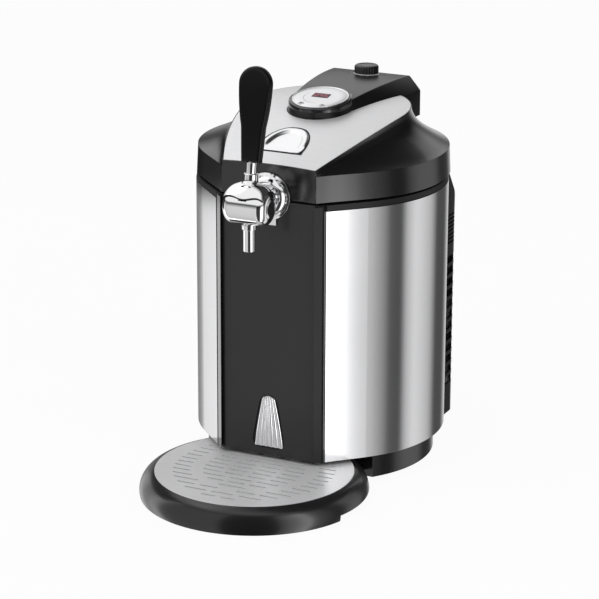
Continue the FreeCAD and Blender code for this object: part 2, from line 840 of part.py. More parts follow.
def make_fan():
    frame = new_body("fan_frame")
    plate = new_sketch(frame, "fan_housing")
    add_box(plate, "-fan_half", "fan_half", "-fan_half", "fan_half")
    add_circle(plate, 0, 0, "fan_bore")
    pad(frame, plate, "fan_thick")
    spider = new_sketch(frame, "fan_spider", lift="fan_thick * 0.8")
    add_circle(spider, 0, 0, "fan_hub")
    pad(frame, spider, "fan_thick * 0.2")
    strut = new_sketch(frame, "fan_strut", lift="fan_thick * 0.8")
    add_box(strut, "fan_hub / 2", "fan_bore + 1", "-fan_hub / 8", "fan_hub / 8")
    arm = pad(frame, strut, "fan_thick * 0.2")
    pattern_ring(frame, arm, 4)
    place(node(frame), 0, FAN_FRONT, "cooler_height", (1, 0, 0), -90)

    rotor = new_body("fan_rotor")
    hub = new_sketch(rotor, "rotor_hub", lift="fan_tip_gap")
    add_circle(hub, 0, 0, "fan_hub")
    pad(rotor, hub, "fan_thick * 0.8 - fan_tip_gap - 0.6")
    loft = rotor.newObject("PartDesign::AdditiveLoft", "rotor_blade")
    sections = []
    for name, lift, lean in (("blade_root", "fan_hub * 0.8", 40),
                             ("blade_tip", "fan_bore - fan_tip_gap", 24)):
        section = new_sketch(rotor, name, "YZ_Plane", lift)
        chord = "fan_thick * %s" % (0.55 if lean == 40 else 0.75)
        middle = "fan_thick * 0.4 + fan_tip_gap / 2 - 0.3"
        along = math.cos(math.radians(90 - lean))
        across = math.sin(math.radians(90 - lean))
        thick = 0.9
        corners = []
        for u, v in ((-0.5, -1), (0.5, -1), (0.5, 1), (-0.5, 1)):
            corners.append(("%s * %.4f - %.4f" % (chord, u * across, v * thick * along / 2),
                            "%s + %s * %.4f + %.4f" % (middle, chord, u * along,
                                                       v * thick * across / 2)))
        add_outline(section, corners)
        sections.append(section)
    loft.Profile = sections[0]
    loft.Sections = [sections[1]]
    loft.Ruled = True
    pattern_ring(rotor, loft, 7)
    place(node(rotor), 0, FAN_FRONT, "cooler_height", (1, 0, 0), -90)


def make_power_supply():
    """Small circuit board with its tall parts, on posts over the drum's floor."""
    near, far = "well_radius + well_wall + supply_margin", "drum_radius - 1.75 * supply_margin"
    side = "bay_half - supply_margin"
    face = "floor_top + supply_lift + board_thick"
    items = [box("supply_board", "-(%s)" % side, side, near, far, "floor_top + supply_lift", face)]
    for i, x in enumerate(("-(%s) + 2 * supply_post" % side, "%s - 2 * supply_post" % side)):
        for j, y in enumerate((near + " + 2 * supply_post", far + " - 2 * supply_post")):
            items.append(cylinder("supply_post_%d%d" % (i, j), "supply_post",
                                  "supply_lift + board_thick / 2", x, y, "floor_top"))
    items.append(box("supply_transformer", "-0.6 * supply_wide", "0.4 * supply_wide",
                     near + " + supply_post", near + " + 0.9 * supply_wide",
                     "floor_top + supply_lift", face + " + supply_tall"))
    for i, x in enumerate(("-1.2 * supply_wide", "0.85 * supply_wide", "1.4 * supply_wide")):
        items.append(cylinder("supply_can_%d" % i, "supply_can", "supply_tall", x,
                              near + " + supply_wide / 2", "floor_top + supply_lift"))
    node(fuse("power_supply", items))


# ---- rear cover ----------------------------------------------------------------

def make_cover():
    body = new_body("rear_cover")
    side = new_sketch(body, "cover_side", "YZ_Plane")
    add_outline(side, [("cover_front", "cover_bottom"), ("cover_back", "cover_bottom"),
                       ("cover_back", "slope_foot"), ("slope_start", "rim_top + 1"),
                       ("cover_front", "rim_top + 1")])
    pad(body, side, "2 * cover_half", midplane=True)
    back, flank, upright = value("cover_back"), value("cover_half / 2"), value("rim_top / 3")
    round_edges(body, "cover_round",
                lambda p, e: abs(p.y - back) < 1 and e.Length > upright and abs(p.x) > flank)
    doc.recompute()
    last = body.Tip
    faces = []
    front, low = value("cover_front"), value("cover_bottom")
    for number, face in enumerate(last.Shape.Faces, start=1):
        centre = face.CenterOfMass
        if abs(centre.y - front) < 0.1 or abs(centre.z - low) < 0.1:
            faces.append("Face%d" % number)
    hollow = body.newObject("PartDesign::Thickness", "cover_hollow")
    hollow.Base = (last, faces)
    hollow.setExpression("Value", bound("cover_wall"))
    hollow.Reversed = True
    hollow.Join = 1

    def rows(name, first, tall, pitch, last_top):
        """Slots through both side walls, then through the back in two columns."""
        count = int((value(last_top) - value(first) - value(tall)) / value(pitch)) + 1
        run = "%s * %d" % (pitch, count - 1)
        flank = new_sketch(body, name + "_flank", "YZ_Plane")
        add_box(flank, "cover_front + 2.4 * cover_wall", "cover_back - cover_round * 0.45", first,
                "%s + %s" % (first, tall))
        sides = pocket(body, flank, "3 * cover_half", midplane=True)
        pattern_line(body, sides, "Z_Axis", run, count)
        rear = new_sketch(body, name + "_rear", "XZ_Plane", "-cover_back - cover_wall")
        for sign in (-1, 1):
            x_low, x_high = sorted(["%d * (cover_half - cover_round * 1.6)" % sign,
                                    "%d * cover_wall * 3" % sign], key=value)
            add_box(rear, x_low, x_high, first, "%s + %s" % (first, tall))
        backs = pocket(body, rear, "cover_wall * 3", upward=True)
        pattern_line(body, backs, "Z_Axis", run, count)
    rows("louvre", "slot_first", "slot_tall", "slot_pitch", "cooler_height + slot_reach")
    rows("vent", "vent_first", "vent_tall", "vent_pitch", "slope_foot - vent_tall / 2")
    inlet = new_sketch(body, "inlet_opening", "XZ_Plane", "-cover_back - cover_wall")
    add_box(inlet, "-inlet_half - slide_gap", "inlet_half + slide_gap",
            "inlet_centre - inlet_tall / 2 - slide_gap", "inlet_centre + inlet_tall / 2 + slide_gap")
    pocket(body, inlet, "cover_wall * 3", upward=True)
    drum = new_sketch(body, "cover_drum_trim")
    add_circle(drum, 0, 0, "drum_radius + seat_gap")
    pocket(body, drum, "rim_top * 2", upward=True)
    node(body)


def make_inlet():
    """Three-pin appliance inlet with its flange on the outside of the cover."""
    body = new_body("power_inlet")

    def add_mouth(sketch, margin):
        add_box(sketch, "-inlet_half - %s" % margin, "inlet_half + %s" % margin,
                "inlet_centre - inlet_tall / 2 - %s" % margin,
                "inlet_centre + inlet_tall / 2 + %s" % margin)
    flange = new_sketch(body, "inlet_flange_face", "XZ_Plane", "-cover_back")
    add_mouth(flange, "inlet_flange")
    pad(body, flange, "cover_wall", downward=True)
    shell = new_sketch(body, "inlet_shell", "XZ_Plane", "-cover_back")
    add_mouth(shell, "0")
    pad(body, shell, "inlet_deep")
    mouth = new_sketch(body, "inlet_mouth", "XZ_Plane", "-cover_back - cover_wall")
    add_mouth(mouth, "(-inlet_wall)")
    pocket(body, mouth, "cover_wall + inlet_deep - inlet_wall", upward=True)
    pins = new_sketch(body, "inlet_pins", "XZ_Plane", "-cover_back + inlet_pin_set")
    for side, lift in (("-inlet_pin_side", "-"), ("0", "+"), ("inlet_pin_side", "-")):
        middle = "inlet_centre %s inlet_tall / 10" % lift
        add_box(pins, side + " - inlet_pin_half", side + " + inlet_pin_half",
                middle + " - 2 * inlet_pin_half", middle + " + 2 * inlet_pin_half")
    pad(body, pins, "inlet_deep - inlet_pin_set - inlet_wall / 2")
    node(body)


def make_cover_screws():
    screws = []
    corner = "cover_half - cover_round * 1.2"
    for i, x in enumerate(("-(%s)" % corner, corner)):
        for j, z in enumerate(("slot_first - 3.4 * screw_radius", "vent_first - 1.6 * screw_radius")):
            head = cylinder("screw_head_%d%d" % (i, j), "screw_radius", "screw_thick",
                            x, "cover_back", z, "y")
            slot = box("screw_slot_%d%d" % (i, j), x + " - screw_radius / 7", x + " + screw_radius / 7",
                       "cover_back + screw_thick / 2", "cover_back + screw_thick * 2",
                       z + " - 0.7 * screw_radius", z + " + 0.7 * screw_radius")
            screws.append(cut("cover_screw_%d%d" % (i, j), head, [slot]))
    node(group("cover_screws", screws))


# ---- tap -----------------------------------------------------------------------

def make_flange():
    """Escutcheon that bears on the front face, with a locating tab below."""
    body = new_body("tap_flange")
    profile = new_sketch(body, "flange_profile", "XZ_Plane")
    bore = "shank_radius + running_gap"
    add_outline(profile, [(bore, 0), ("flange_radius", 0), ("flange_radius", "flange_thick * 0.3"),
                          ("flange_radius * 0.9", "flange_thick * 0.45"),
                          ("flange_radius * 0.82", "flange_thick * 0.45", "flange_thick * 1.2", -1),
                          ("flange_radius * 0.56", "flange_thick"), (bore, "flange_thick")])
    spin(body, profile)
    tab = new_sketch(body, "flange_tab")
    add_box(tab, "shank_radius * 0.2", "shank_radius * 1.15", "-flange_radius - 5",
            "-flange_radius * 0.9")
    pad(body, tab, "flange_thick * 0.3")
    place(node(body), 0, "-front_depth - seat_gap", "tap_height", (1, 0, 0), 90)


def make_coupling_nut():
    """Knurled ring that draws the tap barrel onto its shank."""
    body = new_body("tap_coupling_nut")
    ring = new_sketch(body, "nut_ring")
    add_circle(ring, 0, 0, "flange_radius * 0.56")
    add_circle(ring, 0, 0, "shank_radius + running_gap")
    pad(body, ring, "nut_width")
    flute = new_sketch(body, "nut_flute")
    add_circle(flute, "flange_radius * 0.6", 0, "flange_radius * 0.08")
    first = pocket(body, flute, "nut_width", upward=True)
    pattern_ring(body, first, 16)
    place(node(body), 0, "-front_depth - seat_gap - flange_thick", "tap_height", (1, 0, 0), 90)


def make_shank():
    body = new_body("tap_shank")
    section = new_sketch(body, "shank_section")
    add_circle(section, 0, 0, "shank_radius")
    add_circle(section, 0, 0, "shank_bore")
    pad(body, section, "barrel_depth - shank_stop - coupler_radius * 0.8")
    place(node(body), 0, "-coupler_radius * 0.8", "tap_height", (1, 0, 0), 90)


def make_coupler():
    """Piercing head that seals on the keg and feeds the shank."""
    body = new_body("keg_coupler")
    profile = new_sketch(body, "coupler_profile", "XZ_Plane")
    base = "tap_height - coupler_drop"
    add_outline(profile, [("shank_bore", base + " - coupler_spear"),
                          ("shank_bore * 1.5", base + " - coupler_spear"),
                          ("shank_bore * 1.7", base), ("coupler_radius * 1.6", base),
                          ("coupler_radius * 1.6", base + " + 3"),
                          ("coupler_radius", base + " + 4"),
                          ("coupler_radius", "tap_height + shank_radius + 1"),
                          ("coupler_radius * 0.7", "tap_height + shank_radius + 4"),
                          (0, "tap_height + shank_radius + 4"), (0, "tap_height"),
                          ("shank_bore", "tap_height")])
    spin(body, profile)
    socket = new_sketch(body, "coupler_socket", "XZ_Plane", "coupler_radius * 0.8")
    add_circle(socket, 0, "tap_height", "shank_radius + running_gap")
    pocket(body, socket, "coupler_radius", upward=True)
    way = new_sketch(body, "coupler_way", "XZ_Plane")
    add_circle(way, 0, "tap_height", "shank_bore")
    pocket(body, way, "coupler_radius", upward=True)
    barb = new_sketch(body, "coupler_gas_barb", "XZ_Plane", "-coupler_radius * 1.7")
    add_circle(barb, 0, "tap_height", "shank_bore")
    pad(body, barb, "coupler_radius * 0.9")
    node(body)


def make_barrel():
    """Tap body: a short fat cylinder across the machine with a bore for the plug."""
    body = new_body("tap_barrel")
    disc = new_sketch(body, "barrel_disc", "YZ_Plane")
    add_circle(disc, "-barrel_depth", "tap_height", "barrel_radius")
    pad(body, disc, "2 * barrel_half", midplane=True)
    radius = value("barrel_radius")
    round_edges(body, "barrel_round", lambda p, e: e.Length > 6 * radius)
    bore = new_sketch(body, "plug_bore", "YZ_Plane")
    add_circle(bore, "-barrel_depth", "tap_height", "plug_radius + running_gap")
    pocket(body, bore, "2 * barrel_half + 2", midplane=True)
    for side in ("", "-"):
        seat = new_sketch(body, "cap_seat" + ("_left" if side else "_right"), "YZ_Plane",
                          "%s(barrel_half - cap_thick)" % side)
        add_circle(seat, "-barrel_depth", "tap_height", "cap_radius + seat_gap")
        pocket(body, seat, "barrel_half", upward=not side)
    half, opened = "stem_radius + slide_gap", "(tap_travel - tap_lean)"
    floor = "sqrt(plug_radius^2 - stem_radius^2) * cos(%s) - (%s) * sin(%s)" % (opened, half, opened)
    slot = new_sketch(body, "stem_slot", "XY_Plane", "tap_height + " + floor)

    def swept(lean):
        """Reach of the stem along Y where it leaves the barrel at this lean."""
        return "barrel_radius * sin(%s) + (stem_radius + 2 * slide_gap) / cos(%s)" % (lean, lean)
    add_box(slot, "-(%s)" % half, half, "-barrel_depth - (%s)" % swept(opened),
            "-barrel_depth + %s" % swept("tap_lean"))
    pocket(body, slot, "barrel_radius * 2", upward=True)
    socket = new_sketch(body, "spout_socket", "XY_Plane", "tap_height - barrel_radius * 0.74")
    add_circle(socket, 0, "-barrel_depth", "spout_radius + running_gap")
    pocket(body, socket, "barrel_radius")
    way = new_sketch(body, "spout_way", "XY_Plane", "tap_height")
    add_circle(way, 0, "-barrel_depth", "spout_bore")
    pocket(body, way, "barrel_radius")
    entry = new_sketch(body, "shank_socket", "XZ_Plane", "barrel_depth - shank_stop")
    add_circle(entry, 0, "tap_height", "shank_radius + running_gap")
    pocket(body, entry, "barrel_radius")
    feed = new_sketch(body, "shank_way", "XZ_Plane", "barrel_depth")
    add_circle(feed, 0, "tap_height", "shank_bore")
    pocket(body, feed, "barrel_radius")
    node(body)


def make_caps():
    """Domed discs that close both ends of the plug bore."""
    caps = []
    for side, turn in (("right", 90), ("left", -90)):
        body = new_body("tap_end_cap_" + side)
        profile = new_sketch(body, "cap_profile_" + side, "XZ_Plane")
        add_outline(profile, [(0, 0), ("cap_radius", 0), ("cap_radius", "cap_thick"),
                              ("cap_radius * 0.8", "cap_thick + 0.8"), (0, "cap_thick + 0.8")])
        spin(body, profile)
        sign = "" if side == "right" else "-"
        place(body, "%s(barrel_half - cap_thick)" % sign, "-barrel_depth", "tap_height",
              (0, 1, 0), turn)
        caps.append(body)
    node(group("tap_end_caps", caps))


def make_spout():
    body = new_body("tap_spout")
    profile = new_sketch(body, "spout_profile", "XZ_Plane")
    seat = "tap_height - barrel_radius"
    add_outline(profile, [("spout_bore", "spout_bottom"), ("spout_radius", "spout_bottom"),
                          ("spout_radius", seat + " - 5"), ("collar_radius", seat + " - 4.4"),
                          ("collar_radius", seat), ("spout_radius", seat),
                          ("spout_radius", seat + " + barrel_radius * 0.26"),
                          ("spout_bore", seat + " + barrel_radius * 0.26")])
    spin(body, profile)
    place(node(body), 0, "-barrel_depth", 0)


def on_lever(item):
    """Stand a lever piece on the barrel's axis at its rest lean."""
    return place(item, 0, "-barrel_depth", "tap_height", (1, 0, 0), "-tap_lean")


def make_plug():
    """Quarter-turn plug with an elbow bore, and the stem that the hood turns it by."""
    core = cylinder("plug_core", "plug_radius", "2 * (barrel_half - cap_thick - seat_gap)",
                    "-(barrel_half - cap_thick - seat_gap)", 0, 0, "x")
    stem = cylinder("plug_stem", "stem_radius", "neck_top - plug_radius / 2 - seat_gap",
                    0, 0, "plug_radius / 2")
    elbow_in = cylinder("plug_inlet", "shank_bore", "plug_radius * 2")
    place(elbow_in, 0, 0, 0, (1, 0, 0), "-90 - (tap_travel - tap_lean)")
    elbow_out = cylinder("plug_outlet", "shank_bore", "plug_radius * 2")
    place(elbow_out, 0, 0, 0, (1, 0, 0), "180 - (tap_travel - tap_lean)")
    plug = cut("valve_plug", fuse("plug_blank", [core, stem]), [elbow_in, elbow_out])
    on_lever(node(plug))


def make_hood():
    """Domed saddle that rides over the barrel and carries the neck."""
    body = new_body("tap_hood")
    profile = new_sketch(body, "hood_profile", "XZ_Plane")
    dome = "sqrt(hood_radius^2 + hood_skirt^2)"
    shoulder = "sqrt(%s^2 - neck_radius^2)" % dome
    add_outline(profile, [("stem_radius + running_gap", "hood_skirt"),
                          ("hood_radius", "hood_skirt", dome, -1),
                          ("neck_radius", shoulder), ("neck_radius", "neck_top"),
                          ("stem_radius + running_gap", "neck_top")])
    spin(body, profile)
    saddle = new_sketch(body, "hood_saddle", "YZ_Plane")
    add_circle(saddle, 0, 0, "barrel_radius + hood_gap")
    pocket(body, saddle, "4 * hood_radius", midplane=True)
    slot = new_sketch(body, "hood_slot", "XZ_Plane", "hood_radius * 0.78")
    add_outline(slot, [("-hood_radius * 0.24", "hood_skirt * 1.42"),
                       ("-hood_radius * 0.2", "hood_skirt * 1.33", "hood_radius * 0.6", -1),
                       ("hood_radius * 0.2", "hood_skirt * 1.33"),
                       ("hood_radius * 0.24", "hood_skirt * 1.42"),
                       ("hood_radius * 0.18", "hood_skirt * 1.46", "hood_radius * 0.6", 1),
                       ("-hood_radius * 0.18", "hood_skirt * 1.46")])
    pocket(body, slot, "hood_radius", upward=True)
    on_lever(node(body))


def make_ferrule():
    body = new_body("tap_ferrule")
    profile = new_sketch(body, "ferrule_profile", "XZ_Plane")
    add_outline(profile, [(0, "neck_top"), ("ferrule_radius", "neck_top"),
                          ("ferrule_radius", "handle_bottom"),
                          ("ferrule_radius * 0.7", "handle_bottom"),
                          ("ferrule_radius * 0.7", "handle_bottom + ferrule_radius * 1.6"),
                          (0, "handle_bottom + ferrule_radius * 1.6")])
    spin(body, profile)
    on_lever(node(body))


def make_handle():
    """Paddle lever that widens upwards to a round top."""
    body = new_body("tap_handle")
    face = new_sketch(body, "handle_outline", "XZ_Plane")
    wide_z = "handle_top - handle_wide_half"
    add_outline(face, [
        ("-handle_foot_half", "handle_bottom"), ("handle_foot_half", "handle_bottom"),
        ("handle_foot_half * 1.22", "handle_bottom + (%s - handle_bottom) * 0.45" % wide_z,
         "handle_top * 1.6", -1),
        ("handle_wide_half", wide_z, "handle_wide_half * 1.0005", -1),
        ("-handle_wide_half", wide_z, "handle_top * 1.6", -1),
        ("-handle_foot_half * 1.22", "handle_bottom + (%s - handle_bottom) * 0.45" % wide_z)])
    pad(body, face, "handle_thick", midplane=True)
    half = value("handle_thick") / 2
    round_edges(body, "handle_thick * 0.34", lambda p, e: abs(abs(p.y) - half) < 0.01)
    socket = new_sketch(body, "handle_socket", "XY_Plane", "handle_bottom")
    add_circle(socket, 0, 0, "ferrule_radius * 0.7 + running_gap")
    pocket(body, socket, "ferrule_radius * 1.6 + running_gap", upward=True)
    on_lever(node(body))


# ---- lid: the free-form shell ----------------------------------------------------

def polar(radius, angle, height=0.0):
    return Vector(radius * math.cos(angle), radius * math.sin(angle), height)


def circle_reach(angle, centre, radius):
    """Distance from the drum's axis to a circle, looking along an angle."""
    toward = centre.x * math.cos(angle) + centre.y * math.sin(angle)
    across = centre.x * math.sin(angle) - centre.y * math.cos(angle)
    return toward + math.sqrt(radius * radius - across * across)


def through_lid():
    """Length that takes a tool from the lid's band past the top of everything on it."""
    return 2 * value("housing_top - band_top")


def plate_arcs():
    """Centres and joint of the two arcs that outline the domed top's right side.

    The rear arc is centred on the middle line. The side arc starts at the front
    corner and runs tangent into the rear arc.
    """
    rear_radius, side_radius = value("plate_round"), value("plate_side_radius")
    rear = Vector(0, value("plate_round_back"), 0)
    corner = Vector(value("front_half"), -value("front_depth"), 0) - rear
    offset = side_radius - rear_radius
    reach = (side_radius ** 2 - offset ** 2 - corner.Length ** 2) / (2 * offset)
    turn = math.atan2(corner.y, corner.x) + math.acos(reach / corner.Length)
    side = rear - polar(offset, turn)
    return rear, side, rear + polar(rear_radius, turn)


def top_reach(angle):
    """Distance from the drum's axis to the outline of the domed top."""
    rear, side, joint = plate_arcs()
    if angle > math.pi / 2:
        angle = math.pi - angle
    if angle < math.atan2(joint.y, joint.x):
        return circle_reach(angle, side, value("plate_side_radius"))
    return circle_reach(angle, rear, value("plate_round"))


def dome_height(x, y):
    """Height of the domed top: an arc along the machine swept on an arc across it."""
    length, width = value("crown_length_radius"), value("crown_width_radius")
    drop = width - math.sqrt(width * width - x * x)
    back = y - value("crown_back")
    radius = length - drop
    return value("crown_top") - length + math.sqrt(radius * radius - back * back)


def dome_solid(lift=0.0):
    """Everything below the domed top, raised by a lift."""
    length, width = value("crown_length_radius"), value("crown_width_radius")
    base = value("crown_top") - length
    back = value("crown_back")
    half = value("lid_radius") * 1.2
    edge = base + length + lift - (width - math.sqrt(width * width - half * half))
    low = base + length * 0.6
    crest = Part.Arc(Vector(-half, back, edge), Vector(0, back, base + length + lift),
                     Vector(half, back, edge)).toShape()
    outline = Part.Wire([crest,
                         Part.makeLine(Vector(half, back, edge), Vector(half, back, low)),
                         Part.makeLine(Vector(half, back, low), Vector(-half, back, low)),
                         Part.makeLine(Vector(-half, back, low), Vector(-half, back, edge))])
    face = Part.Face(outline)
    axis = Vector(0, back, base)
    sweep = 28
    face.rotate(axis, Vector(1, 0, 0), -sweep)
    return face.revolve(axis, Vector(1, 0, 0), 2 * sweep)


def lid_section(height, inset=0.0):
    """Outline of the lid at a height: flat front, a bevel each side, round behind.

    The round back tapers towards 45 degree shoulders that run to the front corners,
    and the band's flanks lean in a little. Above the band the outline shrinks to the
    domed top along a concave flare; inset draws the whole outline in for the wall.
    """
    band = value("band_top")
    corner = Vector(value("front_half"), -value("front_depth"), 0)
    shoulder, taper = value("lid_shoulder"), value("lid_taper")
    start_x = corner.x + value("lid_bevel")
    first = math.atan2(start_x - shoulder * math.sqrt(2), start_x)
    leaning = max((band - height) / value("band_tall"), 0) * value("lid_draft")

    def band_reach(angle):
        forward = max(-math.pi / 4 - angle, angle - math.pi * 5 / 4)
        if forward > 0:
            return shoulder / math.cos(forward) + leaning * math.cos(angle) ** 2
        full = value("lid_radius") - taper * (1 - math.sin(angle)) / 2
        return full + leaning * math.cos(angle) ** 2

    def reach(angle):
        full = band_reach(angle)
        target = top_reach(angle)
        spot = polar(target, angle)
        rise = (height - band) / (dome_height(spot.x, spot.y) - band)
        drawn = 1 - (1 - min(max(rise, 0.0), 1.0)) ** value("flare_power")
        return full + (target - full) * drawn - inset
    steps = 20
    angles = [first + (math.pi - 2 * first) * i / steps for i in range(steps + 1)]
    around = [polar(reach(angle), angle, height) for angle in angles]
    curve = Part.BSplineCurve()
    curve.interpolate(around)
    right = Vector(corner.x - inset * 0.7, corner.y + inset, height)
    left = Vector(-right.x, right.y, height)
    return Part.Wire([Part.makeLine(left, right), Part.makeLine(right, around[0]),
                      curve.toShape(), Part.makeLine(around[-1], left)])


def lid_block(inset=0.0, foot=None, lift=0.0):
    """Solid band, flare and dome of the lid, optionally drawn in by an inset."""
    band = value("band_top")
    foot = value("seam") if foot is None else foot
    drum = Part.makeLoft([lid_section(foot, inset), lid_section(band, inset)], True, True)
    top = value("crown_top") + 2
    shares = (0, 0.1, 0.25, 0.45, 0.7, 1)
    wires = [lid_section(band + (top - band) * share, inset) for share in shares]
    flare = Part.makeLoft(wires, True, False)
    return drum.fuse(flare).common(dome_solid(lift)).removeSplitter()


def plate_face(inset, height):
    """Flat face inside the outline of the domed top, drawn in by an inset."""
    rear, side, joint = plate_arcs()
    corner = Vector(value("front_half"), -value("front_depth"), 0)
    direction = (corner + joint) / 2 - side
    middle = side + direction.normalize() * value("plate_side_radius")
    back = rear + Vector(0, value("plate_round"), 0)

    def mirrored(point):
        return Vector(-point.x, point.y, 0)
    wire = Part.Wire([Part.makeLine(mirrored(corner), corner),
                      Part.Arc(corner, middle, joint).toShape(),
                      Part.Arc(joint, back, mirrored(joint)).toShape(),
                      Part.Arc(mirrored(joint), mirrored(middle), mirrored(corner)).toShape()])
    if inset:
        wire = wire.makeOffset2D(-inset)
    face = Part.Face(wire)
    face.translate(Vector(0, 0, height))
    return face


def housing_wire(half_back, nose_radius, height, inset, bulge):
    """Plan of the control housing: round nose, bowed flanks, straight back."""
    nose = Vector(0, -value("nose_centre"), height)
    back = value("housing_back") - inset
    radius = nose_radius - inset
    half = half_back - inset
    side = Vector(radius, nose.y, height)
    rear = Vector(half, back, height)
    bow = (side + rear) / 2 + Vector(bulge, 0, 0)

    def mirrored(point):
        return Vector(-point.x, point.y, point.z)
    return Part.Wire([Part.Arc(side, bow, rear).toShape(),
                      Part.makeLine(rear, mirrored(rear)),
                      Part.Arc(mirrored(rear), mirrored(bow), mirrored(side)).toShape(),
                      Part.Arc(mirrored(side), nose - Vector(0, radius, 0), side).toShape()])


def housing_block(inset=0.0, top_drop=0.0, foot=None):
    """Tapered block of the control housing, standing on an upright foot."""
    shoulder = value("housing_shoulder")
    top = value("housing_top") - top_drop
    foot = value("band_top") if foot is None else foot
    low = housing_wire(value("housing_back_half"), value("nose_radius"), shoulder, inset, 5)
    high = housing_wire(value("housing_top_half"), value("nose_top_radius"), top, inset, 2)
    taper = Part.makeLoft([low, high], True, True)
    base = Part.Face(low)
    base.translate(Vector(0, 0, foot - shoulder))
    return base.extrude(Vector(0, 0, shoulder - foot)).fuse(taper).removeSplitter()


def button_face(margin, height):
    """D outline of the release button: straight front, bowed sides, round back."""
    corner = Vector(value("button_half"), -value("button_front"), height)
    knee = Vector(value("button_knee_half"), -value("button_knee"), height)
    tip = Vector(0, -value("button_back"), height)
    rise = tip.y - knee.y
    radius = (knee.x ** 2 + rise ** 2) / (2 * rise)
    outward = (knee - Vector(0, tip.y - radius, height)).normalize()
    chord = knee - corner
    side_radius = chord.Length ** 2 / (2 * outward.dot(chord))
    centre = knee - outward * side_radius
    bow = centre + (corner + knee - centre * 2).normalize() * side_radius

    def mirrored(point):
        return Vector(-point.x, point.y, point.z)
    wire = Part.Wire([Part.Arc(corner, bow, knee).toShape(),
                      Part.Arc(knee, tip, mirrored(knee)).toShape(),
                      Part.Arc(mirrored(knee), mirrored(bow), mirrored(corner)).toShape(),
                      Part.makeLine(mirrored(corner), corner)])
    if margin:
        wire = wire.makeOffset2D(margin, 2)
    return Part.Face(wire)


def block(x_low, x_high, y_low, y_high, z_low, z_high):
    """Plain box between two corners given as formulas."""
    low = Vector(value(x_low), value(y_low), value(z_low))
    high = Vector(value(x_high), value(y_high), value(z_high))
    size = high - low
    return Part.makeBox(size.x, size.y, size.z, low)


def rod(radius, start, end):
    """Round bar between two points given as formulas."""
    low = Vector(*[value(part) for part in start])
    high = Vector(*[value(part) for part in end])
    return Part.makeCylinder(value(radius), (high - low).Length, low, high - low)


def lid_form():
    """Outside of the lid shell, with the shallow recess that the top plate lies in."""
    tall = through_lid()
    recess = plate_face(value("plate_margin") - value("seat_gap"), value("band_top"))
    recess = recess.extrude(Vector(0, 0, tall)).cut(dome_solid(-value("plate_thick")))
    return lid_block().cut(recess)


def make_lid_shell():
    wall = value("lid_wall")
    cavity = lid_block(wall, value("seam") - 1, -wall - value("plate_thick"))
    shell = lid_form().cut(cavity)
    tall = through_lid()
    service = Part.Face(housing_wire(value("housing_back_half") - 6, value("nose_radius") - 6,
                                     value("band_top") + 8, 0, 3))
    service = service.extrude(Vector(0, 0, tall))
    well_wall = button_face(value("slide_gap") + value("lid_wall") * 0.6, value("button_well"))
    well_wall = well_wall.extrude(Vector(0, 0, tall)).common(dome_solid(-value("plate_thick")))
    opening = button_face(value("slide_gap"), value("button_well") - 1)
    opening = opening.extrude(Vector(0, 0, tall))
    shell = shell.cut(service).cut(opening).fuse(well_wall.cut(opening))
    lug = "(latch_side + latch_width / 2 + latch_lug)"
    pieces = [block("%s%s - latch_lug" % (side, lug), "%s%s + latch_lug" % (side, lug),
                    "-front_depth + lid_wall / 2", "-latch_pivot_depth + 2 * latch_pin",
                    "latch_pivot_height - 2 * latch_pin", "latch_pivot_height + 2 * latch_pin")
              for side in ("", "-")]
    pin = rod("latch_pin + running_gap", ("-lid_radius / 2", "-latch_pivot_depth", "latch_pivot_height"),
              ("lid_radius / 2", "-latch_pivot_depth", "latch_pivot_height"))
    half, gap, width = "knuckle_centre_half", "knuckle_gap", "knuckle_width"
    outer_low = "%s + 2 * %s + %s" % (half, gap, width)
    spans = [("-" + half, half), (outer_low, outer_low + " + " + width),
             ("-(%s + %s)" % (outer_low, width), "-(%s)" % outer_low)]
    for low, high_x in spans:
        pieces.append(block(low, high_x, "lid_radius - lid_wall / 2", "hinge_depth",
                            "hinge_height - 0.5", "hinge_height + knuckle_radius"))
        pieces.append(rod("knuckle_radius", (low, "hinge_depth", "hinge_height"),
                          (high_x, "hinge_depth", "hinge_height")))
    bore = rod("pin_radius + running_gap", ("-lid_radius", "hinge_depth", "hinge_height"),
               ("lid_radius", "hinge_depth", "hinge_height"))
    shell = shell.fuse(pieces).cut(pin).cut(bore)
    notch = rod("shank_radius + 2 * slide_gap", (0, "-lid_radius * 1.2", "tap_height"),
                (0, "-base_front", "tap_height"))
    below = block("-shank_radius - 2 * slide_gap", "shank_radius + 2 * slide_gap",
                  "-lid_radius * 1.2", "-base_front", "rim_top", "tap_height")
    node(solid("lid_shell", shell.cut(notch.fuse(below)).removeSplitter()))


def make_top_plate():
    """Brushed skin on the dome, open round the housing and the release button."""
    blank = plate_face(value("plate_margin"), value("band_top"))
    tall = through_lid()
    skin = blank.extrude(Vector(0, 0, tall)).common(dome_solid())
    skin = skin.cut(dome_solid(-value("plate_thick") + 0.01))
    button = button_face(value("slide_gap"), value("band_top") - 1)
    housing = Part.Face(housing_wire(value("housing_back_half"), value("nose_radius"),
                                     value("band_top"), -value("seat_gap"), 5))
    skin = skin.cut(button.extrude(Vector(0, 0, tall))).cut(housing.extrude(Vector(0, 0, tall)))
    node(solid("lid_top_plate", skin))


